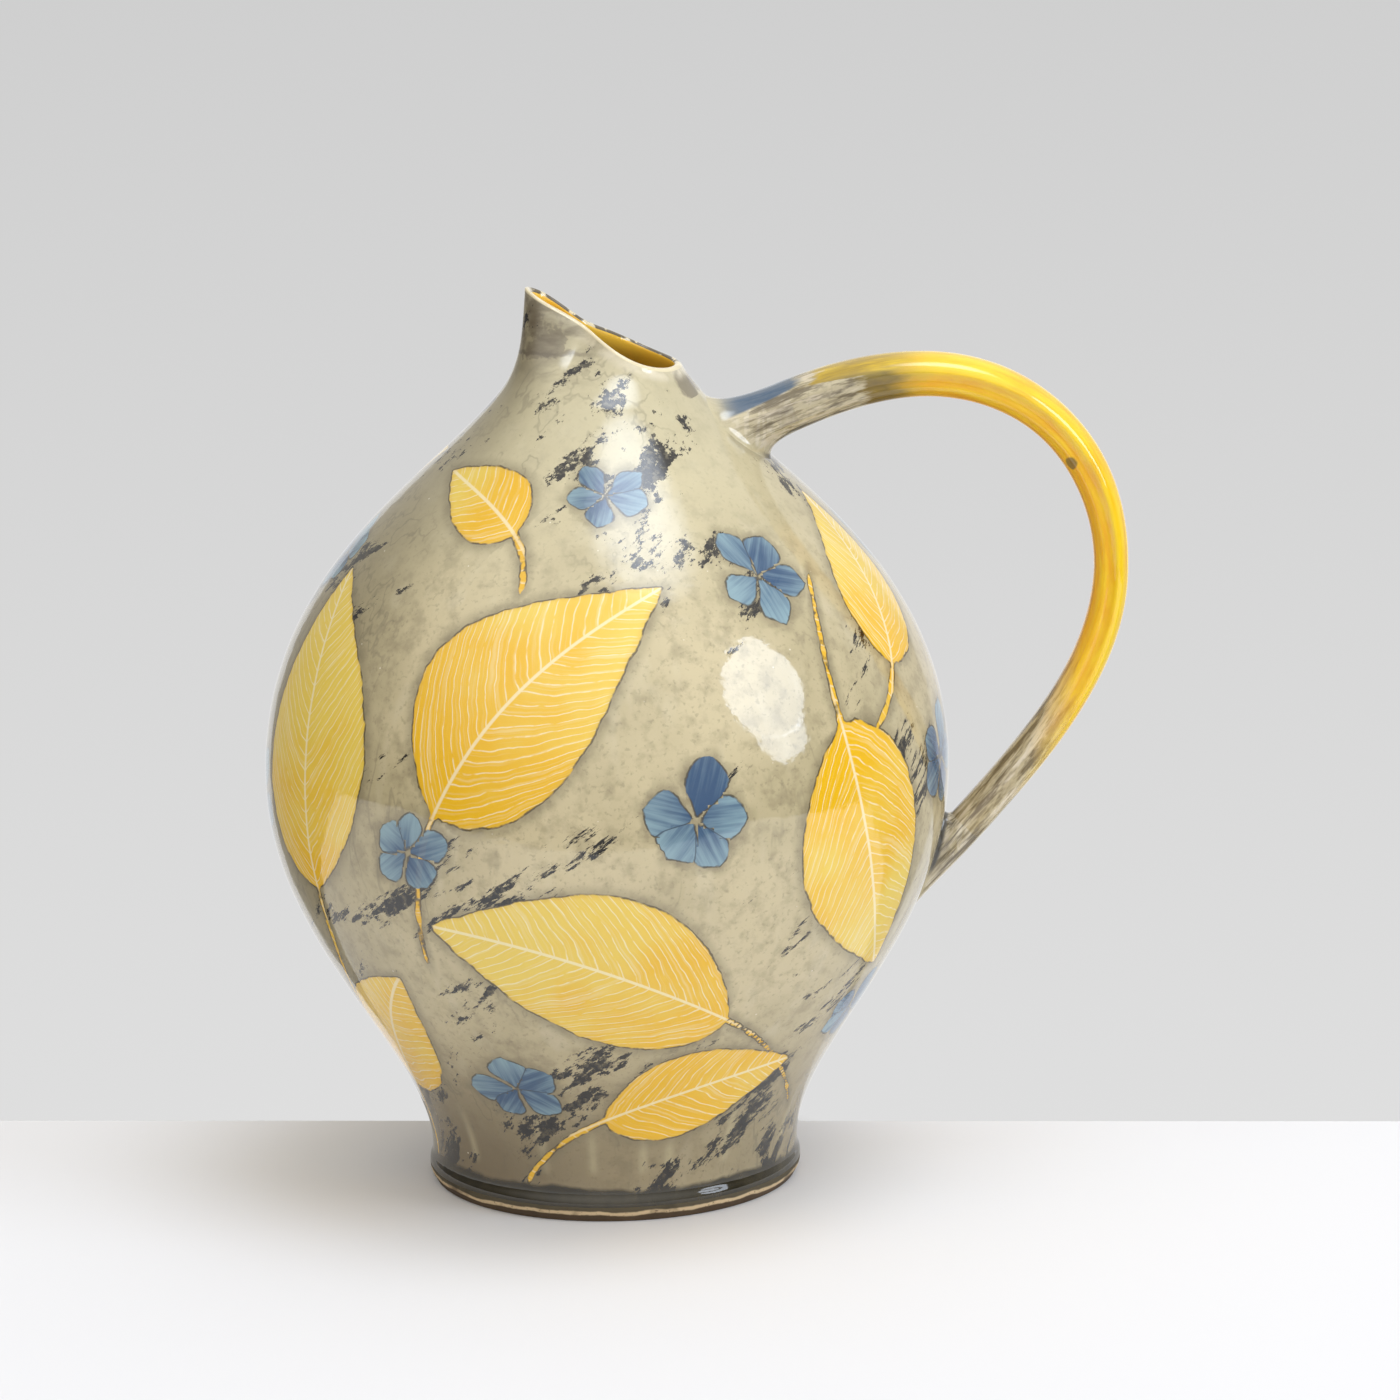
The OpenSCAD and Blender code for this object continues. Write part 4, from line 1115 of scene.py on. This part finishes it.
def dragged_grey(n, colour):
    """Grey and pale slip dragged along the strap's ends over a colour, with a swipe of blue on top of the
    upper end. The streaks are noise on the strap's own rulers, wound on a core of 7 mm and shortened along
    it: broad ones about 2.4 mm wide and 16 mm long, and fine ones about a quarter of that."""
    along = n("Attribute", attribute_name="along")["Fac"]
    around = n("Attribute", attribute_name="around")["Vector"]
    sides = n("SeparateXYZ", {0: around})
    ruler = n("CombineXYZ", {0: sides[0], 1: sides[1]})[0]
    ruler = n("VectorMath", {0: ruler, "Scale": 7.0}, operation="SCALE")[0]
    ruler_parts = n("SeparateXYZ", {0: ruler})
    length = n("Math", {0: along, 1: 0.15}, operation="MULTIPLY")[0]
    ruler = n("CombineXYZ", {0: length, 1: ruler_parts[0], 2: ruler_parts[1]})[0]
    streak = n("TexNoise", {"Vector": ruler, "Scale": 0.42, "Detail": 4.0, "Roughness": 0.6})["Fac"]
    colour = n("Mix", {0: 0.45, 6: colour, 7: linear("#ddd0b2")}, data_type="RGBA")[2]
    fine = n("TexNoise", {"Vector": ruler, "Scale": 1.5, "Detail": 3.0})["Fac"]
    fine = n("MapRange", {0: fine, 1: 0.46, 2: 0.62, 4: 0.6}, interpolation_type="SMOOTHSTEP")[0]
    colour = n("Mix", {0: fine, 6: colour, 7: linear("#7d7059")}, data_type="RGBA")[2]
    dark = n("MapRange", {0: streak, 1: 0.49, 2: 0.6, 4: 0.85}, interpolation_type="SMOOTHSTEP")[0]
    colour = n("Mix", {0: dark, 6: colour, 7: linear("#62563f")}, data_type="RGBA")[2]
    pale = n("MapRange", {0: streak, 1: 0.45, 2: 0.36, 4: 0.85}, interpolation_type="SMOOTHSTEP")[0]
    colour = n("Mix", {0: pale, 6: colour, 7: linear("#e2d6c0")}, data_type="RGBA")[2]
    ragged = n("Math", {0: streak, 1: 12.0, 2: along}, operation="MULTIPLY_ADD")[0]
    near = n("MapRange", {0: ragged, 1: 7.5, 2: 10.5, 3: 0.9, 4: 0.0})[0]
    lowered = n("Math", {0: along, 1: 0.016, 2: 0.62}, operation="MULTIPLY_ADD")[0]
    top = n("Math", {0: sides[0], 1: lowered}, operation="SUBTRACT")[0]
    top = n("MapRange", {0: top, 1: 0.0, 2: 0.1}, interpolation_type="SMOOTHSTEP")[0]
    swipe = n("Math", {0: near, 1: top}, operation="MULTIPLY")[0]
    off_seat = n("MapRange", {0: along, 1: -17.0, 2: -12.0})[0]
    swipe = n("Math", {0: swipe, 1: off_seat}, operation="MULTIPLY")[0]
    colour = n("Mix", {0: swipe, 6: colour, 7: linear("#33587a")}, data_type="RGBA")[2]
    return colour, along, sides, streak


def wad_glaze():
    """Clear-glazed earthenware on the smeared wads: dragged grey and upright pale strokes that fade out
    into the body's ground, and dark glaze in the crease on the side that the handle closes in."""
    material, n = start_material("clear_glazed_smeared_earthenware")
    plain, place, mottle = ground(n)
    strokes = n("Mapping", {"Vector": place, "Scale": (1, 1, 0.12)})[0]
    strokes = n("TexNoise", {"Vector": strokes, "Scale": 1 / (1.8 * MM), "Detail": 2.0})["Fac"]
    pale = n("MapRange", {0: strokes, 1: 0.46, 2: 0.6, 4: 0.75}, interpolation_type="SMOOTHSTEP")[0]
    colour = n("Mix", {0: pale, 6: plain, 7: linear("#ece4d3")}, data_type="RGBA")[2]
    colour = dragged_grey(n, grey_dabs(n, colour, place))[0]
    smear = n("Attribute", attribute_name="smear")["Fac"]
    out = n("MapRange", {0: smear, 1: 0.45, 2: 0.9}, interpolation_type="SMOOTHSTEP")[0]
    colour = n("Mix", {0: out, 6: colour, 7: plain}, data_type="RGBA")[2]
    crease = n("Attribute", attribute_name="crease")["Fac"]
    colour = n("Mix", {0: crease, 6: colour, 7: linear("#1f2123")}, data_type="RGBA")[2]
    clear_glaze(n, colour, place, mottle)
    return material


print("beak and wad glazes are ready")

# %% [markdown]
# ## Yellow glazes
# The handle and the inside carry a lead-yellow glaze. It is thin and bright on ridges and deep amber
# where it gathers, and on the handle painted shade makes it deeper inside the loop. At both ends of the
# handle the grey brushwork of the body runs up over the yellow in blocks, which follow the length that is
# stored along the strap.

# %% Handle and liner glazes


def handle_glaze():
    """Yellow-glazed pulled clay: bright on the ridges and amber between them, where glaze gathers, with
    painted shade deepening the amber inside the loop, stained where the grey of both ends was brushed over
    it. Places along the strap are in mm."""
    material, n = start_material("yellow_glazed_pulled_clay")
    plain, place, mottle = ground(n)
    dull, along, sides, streak = dragged_grey(n, plain)
    wash = n("TexNoise", {"Vector": place, "Scale": 1 / (16 * MM), "Detail": 3.0})["Fac"]
    # Painted light and shade: the outside of the loop, which faces up and towards the lamp, is paler and the
    # inside deeper amber
    depth = n("Math", {0: sides[0], 1: -0.16, 2: streak}, operation="MULTIPLY_ADD")[0]
    depth = n("Math", {0: sides[2], 1: -0.2, 2: depth}, operation="MULTIPLY_ADD")[0]
    depth = n("Math", {0: wash, 1: 0.4, 2: depth}, operation="MULTIPLY_ADD")[0]
    depth = n("MapRange", {0: depth, 1: 0.35, 2: 1.0}, interpolation_type="SMOOTHSTEP")[0]
    yellow = n("Mix", {0: depth, 6: linear("#ffd822"), 7: linear("#f2ae0c")}, data_type="RGBA")[2]
    top = n("MapRange", {0: sides[0], 1: 0.3, 2: 0.6}, interpolation_type="SMOOTHSTEP")[0]
    ragged = n("Math", {0: streak, 1: 24.0, 2: along}, operation="MULTIPLY_ADD")[0]
    ragged = n("Math", {0: wash, 1: 6.0, 2: ragged}, operation="MULTIPLY_ADD")[0]
    stain = n("MapRange", {0: ragged, 1: 62.0, 2: 46.0, 4: 0.75}, interpolation_type="SMOOTHSTEP")[0]
    stain = n("Math", {0: stain, 1: n("MapRange", {0: streak, 1: 0.35, 2: 0.6, 3: 0.4, 4: 1.0})[0]},
              operation="MULTIPLY")[0]
    yellow = n("Mix", {0: stain, 6: yellow, 7: linear("#8a7a36")}, data_type="RGBA")[2]
    edge_at = n("Math", {0: top, 1: 15.0, 2: ragged}, operation="MULTIPLY_ADD")[0]
    block = n("MapRange", {0: edge_at, 1: 46.0, 2: 52.0, 3: 0.7, 4: 0.0})[0]
    block = n("Math", {0: block, 1: n("MapRange", {0: top, 3: 1.0, 4: 0.2})[0]}, operation="MULTIPLY")[0]
    yellow = n("Mix", {0: block, 6: yellow, 7: linear("#5b5127")}, data_type="RGBA")[2]
    upper = n("MapRange", {0: edge_at, 1: 37.0, 2: 40.0, 3: 0.97, 4: 0.0})[0]
    inward = n("Math", {0: sides[0], 1: -18.0, 2: ragged}, operation="MULTIPLY_ADD")[0]
    tail = n("MapRange", {0: inward, 1: handle_l / MM - 42, 2: handle_l / MM - 14, 4: 0.95})[0]
    grey = n("Math", {0: upper, 1: tail}, operation="MAXIMUM")[0]
    colour = n("Mix", {0: grey, 6: yellow, 7: dull}, data_type="RGBA")[2]
    colour = mark(n, colour, place, mottle, (146.4, -7.1, 228.2), 2.2, "#4f4a33")
    clear_glaze(n, colour, place, mottle)
    return material


def liner_glaze():
    """Yellow glaze poured inside: bright near the mouth and a little deeper further down."""
    material, n = start_material("poured_yellow_liner_glaze")
    place = n("TexCoord")["Object"]
    mottle = n("TexNoise", {"Vector": place, "Scale": 1 / (9 * MM), "Detail": 4.0})["Fac"]
    height = n("SeparateXYZ", {0: place})[2]
    deep = n("MapRange", {0: height, 1: neck_z + 22 * MM, 2: neck_z - 30 * MM, 4: 0.9})[0]
    deep = n("Math", {0: mottle, 1: 0.5, 2: deep}, operation="MULTIPLY_ADD")[0]
    deep = n("MapRange", {0: deep, 1: 0.2, 2: 1.1})[0]
    colour = n("Mix", {0: deep, 6: linear("#ffd04c"), 7: linear("#ffc63e")}, data_type="RGBA")[2]
    clear_glaze(n, colour, place, mottle)
    return material


print("yellow glazes are ready")

# %% [markdown]
# ## Bare clay
# Under the foot the glaze was wiped off, and the buff clay took a toasted brown in the kiln. It is dry
# and dull, speckled with grit, and pale along the line where the wiped glaze stops.

# %% Toasted clay


def bare_clay():
    """Fired bare earthenware, turned and sponged: dull brown with grit, under a cream line that is broken
    where the glaze wasn't wiped off, and a dark edge of glaze above it."""
    material, n = start_material("toasted_bare_earthenware")
    place = n("TexCoord")["Object"]
    toast = n("TexNoise", {"Vector": place, "Scale": 1 / (12 * MM), "Detail": 4.0})["Fac"]
    grit = n("TexNoise", {"Vector": place, "Scale": 1 / (0.9 * MM), "Detail": 2.0})["Fac"]
    height = n("SeparateXYZ", {0: place})[2]
    colour = n("Mix", {0: toast, 6: linear("#66523a"), 7: linear("#3b3025")}, data_type="RGBA")[2]
    ragged = n("Math", {0: toast, 1: -3 * MM, 2: height}, operation="MULTIPLY_ADD")[0]
    cream = n("MapRange", {0: ragged, 1: 0.7 * MM, 2: 1.1 * MM, 4: 0.9})[0]
    wiped = n("TexNoise", {"Vector": place, "Scale": 1 / (17 * MM), "Detail": 5.0, "Roughness": 0.6})["Fac"]
    wiped = n("MapRange", {0: wiped, 1: 0.38, 2: 0.5, 3: 0.25, 4: 1.0})[0]
    cream = n("Math", {0: cream, 1: wiped}, operation="MULTIPLY")[0]
    colour = n("Mix", {0: cream, 6: colour, 7: linear("#dcc39c")}, data_type="RGBA")[2]
    glazed = n("MapRange", {0: ragged, 1: 1.9 * MM, 2: 2.3 * MM, 4: 0.92})[0]
    colour = n("Mix", {0: glazed, 6: colour, 7: linear("#3d392b")}, data_type="RGBA")[2]
    speck = n("MapRange", {0: grit, 1: 0.62, 2: 0.7, 4: 0.6})[0]
    colour = n("Mix", {0: speck, 6: colour, 7: linear("#54402c")}, data_type="RGBA")[2]
    bump = n("Bump", {"Height": grit, "Strength": 0.6, "Distance": 0.15 * MM})[0]
    shader = n("BsdfPrincipled", {"Base Color": colour, "Roughness": 0.78, "IOR": 1.45, "Normal": bump})[0]
    n("OutputMaterial", {"Surface": shader})
    return material


clay = bare_clay()
print(clay.name, "has", len(clay.node_tree.nodes), "nodes")

# %% [markdown]
# ## Putting the pieces in place
# Each piece now hides its solid, rides on the jug's one body, and takes its materials.

# %% Dress the solids
wads = wad_glaze()
liner = liner_glaze()
stand_for(body, "thrown_body", "decorated_glaze", painted, clay)
stand_for(foot, "foot_ring", "bare_clay", clay)
stand_for(beak, "beak_neck", "decorated_glaze", beak_glaze())
stand_for(body_coat, "body_liner", "liner_glaze", liner)
stand_for(beak_coat, "beak_liner", "liner_glaze", liner)
stand_for(handle, "pulled_handle", "handle_glaze", handle_glaze())
stand_for(upper_wad, "upper_handle_wad", "decorated_glaze", wads)
stand_for(lower_wad, "lower_handle_wad", "decorated_glaze", wads)
print("all eight solids are dressed")

# %% [markdown]
# ## Board and paper
# The jug stands at the back edge of a white board, where it meets grey paper that fades into a plain
# backdrop. One curved sheet could serve as both, but it wouldn't show the board's edge. The backdrop is
# the world's, and only the camera and shiny or clear surfaces see it.

# %% Board and paper
# The board is turned so that its back edge looks level to the tipped camera
BOARD_TURN = np.radians(-3.65)
fade_from, fade_to = 60 * MM, 84 * MM


def seeing_rays(n):
    """Two shares for the nodes: 1 on rays of the camera, and 1 on rays of reflections and clear things."""
    rays = n("LightPath")
    mirrored = n("Math", {0: rays["Is Glossy Ray"], 1: rays["Is Transmission Ray"]}, operation="MAXIMUM")[0]
    return rays["Is Camera Ray"], mirrored


def plain_surface(name, hex_value, fades=False):
    """A matt painted surface. One that fades turns clear to the eye away from the jug, so that the
    backdrop is seen there, and still takes and gives light."""
    material, n = start_material(name)
    shader = n("BsdfDiffuse", {"Color": linear(hex_value)})[0]
    if fades:
        away = n("VectorMath", {0: n("TexCoord")["Object"]}, operation="LENGTH")["Value"]
        clear = n("MapRange", {0: away, 1: fade_from, 2: fade_to}, interpolation_type="SMOOTHSTEP")[0]
        to_camera, mirrored = seeing_rays(n)
        seen = n("Math", {0: to_camera, 1: mirrored}, operation="MAXIMUM")[0]
        clear = n("Math", {0: clear, 1: seen}, operation="MULTIPLY")[0]
        shader = n("MixShader", {0: clear, 1: shader, 2: n("BsdfTransparent")[0]})[0]
    n("OutputMaterial", {"Surface": shader})
    return material


def slab(name, low, high, material):
    """A flat box between two corners, turned a little about Z, as part of the stage."""
    x, y, z = np.meshgrid(*zip(low, high), indexing="ij")
    c, s = np.cos(BOARD_TURN), np.sin(BOARD_TURN)
    corners = np.stack([x * c - y * s, x * s + y * c, z], -1).reshape(-1, 3)
    mesh = bpy.data.meshes.new(name)
    mesh.from_pydata(corners, [], [(0, 1, 3, 2), (4, 6, 7, 5), (0, 4, 5, 1), (2, 3, 7, 6), (0, 2, 6, 4),
                                   (1, 5, 7, 3)])
    mesh.materials.append(material)
    thing = bpy.data.objects.new(name, mesh)
    bpy.context.collection.objects.link(thing)


board_left, board_right = -1.3, 0.8
board_front, board_back = -620 * MM, 52 * MM
board_t = 0.2 * MM
paper_half, paper_far = 0.6, 3.3
paper_t = 3 * MM
slab("white_board", (board_left, board_front, -board_t), (board_right, board_back, 0),
     plain_surface("white_board_paint", "#e7e7ea"))
slab("grey_paper", (-paper_half, board_back, -paper_t), (paper_half, paper_far, 0),
     plain_surface("grey_backdrop_paper", "#dcdcdc", fades=True))
print("board and paper are down")

# %% [markdown]
# ## Light
# A large round lamp at the right makes the bright disc on the glaze. The world gives the rest as round
# glows: a smaller lamp under it, a soft patch overhead, a broad glow from the front and a weak one from
# the lit backdrop, over a fill that grows towards the zenith. More area lamps could do this, but they
# would show as discs in the glaze as well. The lamps are a little blue and the fill a little warm, which
# warms the shadows.

# %% Lamps and glow
aim = np.array([0, 0, 140 * MM])
LAMP_COLOUR, FILL_COLOUR = "#e4efff", "#fffbf3"


def compass(azimuth, elevation):
    """The direction at an azimuth from the front towards the handle and an elevation, in degrees."""
    a, e = np.radians([azimuth, elevation])
    return np.array([np.sin(a) * np.cos(e), -np.cos(a) * np.cos(e), np.sin(e)])


def lamp(name, azimuth, elevation, distance, across, brightness):
    """A round area lamp that faces the jug from a direction. Its power is brightness x pi x area."""
    towards = compass(azimuth, elevation)
    light = bpy.data.lights.new(name, "AREA")
    light.shape = "DISK"
    light.size = across
    light.color = linear(LAMP_COLOUR)[:3]
    light.energy = brightness * np.pi * np.pi * across ** 2 / 4
    thing = bpy.data.objects.new(name, light)
    side = np.cross([0, 0, 1], towards)
    side /= np.linalg.norm(side)
    place = np.eye(4)
    place[:3, :3] = np.stack([side, np.cross(towards, side), towards], 1)
    place[:3, 3] = aim + distance * towards
    thing.matrix_world = place.T.tolist()
    bpy.context.collection.objects.link(thing)


LAMP_LEVEL = 4.36
LAMP_AT = (64, 29.5)
lamp_radius = np.radians(14.5)
lamp_away = 3.6
lamp("large_round_lamp", *LAMP_AT, lamp_away, 2 * lamp_away * np.tan(lamp_radius), LAMP_LEVEL)
world = bpy.data.worlds.new("studio_glow")
world.use_nodes = True
world.node_tree.nodes.clear()
n = partial(add, world.node_tree)
direction = n("TexCoord")["Generated"]
sky = n("SeparateXYZ", {0: direction})


def round_glow(towards, inner, outer, level):
    """A round patch of light in the world: a level within an inner angle of a direction, which eases to
    nothing at an outer angle, both in degrees."""
    near = n("VectorMath", {0: direction, 1: tuple(towards)}, operation="DOT_PRODUCT")["Value"]
    limits = np.cos(np.radians([outer, inner]))
    return n("MapRange", {0: near, 1: limits[0], 2: limits[1], 4: level}, interpolation_type="SMOOTHSTEP")[0]


# The small lamp's patch leaves out what the large lamp covers, so the two don't add up
hidden = n("MapRange", {0: round_glow(compass(*LAMP_AT), 13, 15, 1.0), 3: 1.0, 4: 0.0})[0]
CEILING_LEVEL, FRONT_LEVEL, BACK_LEVEL = 4.4, 0.7, 0.45
ZENITH_LEVEL, HORIZON_LEVEL = 0.66, 0.14
small_lamp = round_glow(compass(65, 15.5), 8.8, 9.8, LAMP_LEVEL)
small_lamp = n("Math", {0: small_lamp, 1: hidden}, operation="MULTIPLY")[0]
ceiling = round_glow(compass(70, 78), 4, 19, CEILING_LEVEL)
lamps = n("Math", {0: small_lamp, 1: ceiling}, operation="ADD")[0]
lamps = n("Background", {"Color": linear(LAMP_COLOUR), "Strength": lamps})[0]
level = n("MapRange", {0: sky[2], 1: 0.0, 2: 0.95, 3: HORIZON_LEVEL, 4: ZENITH_LEVEL},
          interpolation_type="SMOOTHSTEP")[0]
from_front = round_glow(compass(3, 41), 0, 78, FRONT_LEVEL)
level = n("Math", {0: level, 1: from_front}, operation="ADD")[0]
from_behind = round_glow(compass(158, 8), 15, 80, BACK_LEVEL)
level = n("Math", {0: level, 1: from_behind}, operation="ADD")[0]
glow = n("Background", {"Color": linear(FILL_COLOUR), "Strength": level})[0]
glow = n("AddShader", {0: glow, 1: lamps})[0]
downward = n("MapRange", {0: sky[2], 1: -0.13, 2: -0.29})[0]
tone = n("Mix", {0: downward, 6: linear("#cfcfcf"), 7: linear("#dfdfdf")}, data_type="RGBA")[2]
# Reflections show the backdrop where it stands, behind the jug, with the light that falls on it there
BACKDROP_AT = (0.078, 0.97, -0.23)
to_camera, mirrored = seeing_rays(n)
tone = n("Mix", {0: mirrored, 6: tone, 7: linear("#f6f6f6")}, data_type="RGBA")[2]
backdrop = n("Background", {"Color": tone, "Strength": 1.0})[0]
behind = round_glow(BACKDROP_AT, 27, 29, 1.0)
mirrored = n("Math", {0: mirrored, 1: behind}, operation="MULTIPLY")[0]
seen = n("Math", {0: to_camera, 1: mirrored}, operation="MAXIMUM")[0]
n("OutputWorld", {"Surface": n("MixShader", {0: seen, 1: glow, 2: backdrop})[0]})
bpy.context.scene.world = world
bpy.context.scene.view_settings.view_transform = "Standard"
print("one lamp, four round glows and a soft fill")

# %% [markdown]
# ## The camera
# The place of the camera was found by laying the jug's outline over its picture: a long lens about
# 2.2 m away, a little above the jug, tipped by one degree.

# %% Camera
lens_px = 7189.13
frame_px = 1400
pitch, roll = np.radians(13.29), np.radians(1.02)
camera_place = np.array([29.58, -2200, 672.6]) * MM
forward = np.array([0, np.cos(pitch), -np.sin(pitch)])
sideways = np.array([1.0, 0, 0])
rise = np.array([0, np.sin(pitch), np.cos(pitch)])
rightward = np.cos(roll) * sideways - np.sin(roll) * rise
upward = np.sin(roll) * sideways + np.cos(roll) * rise
camera = bpy.data.cameras.new("studio_camera")
camera.sensor_width = 36
camera.lens = lens_px * camera.sensor_width / frame_px
camera.clip_end = 50
stand = np.eye(4)
stand[:3, :3] = np.stack([rightward, upward, -forward], 1)
stand[:3, 3] = camera_place
viewer = bpy.data.objects.new("studio_camera", camera)
viewer.matrix_world = stand.T.tolist()
bpy.context.collection.objects.link(viewer)
bpy.context.scene.camera = viewer
print(f"lens {camera.lens:.1f} mm")
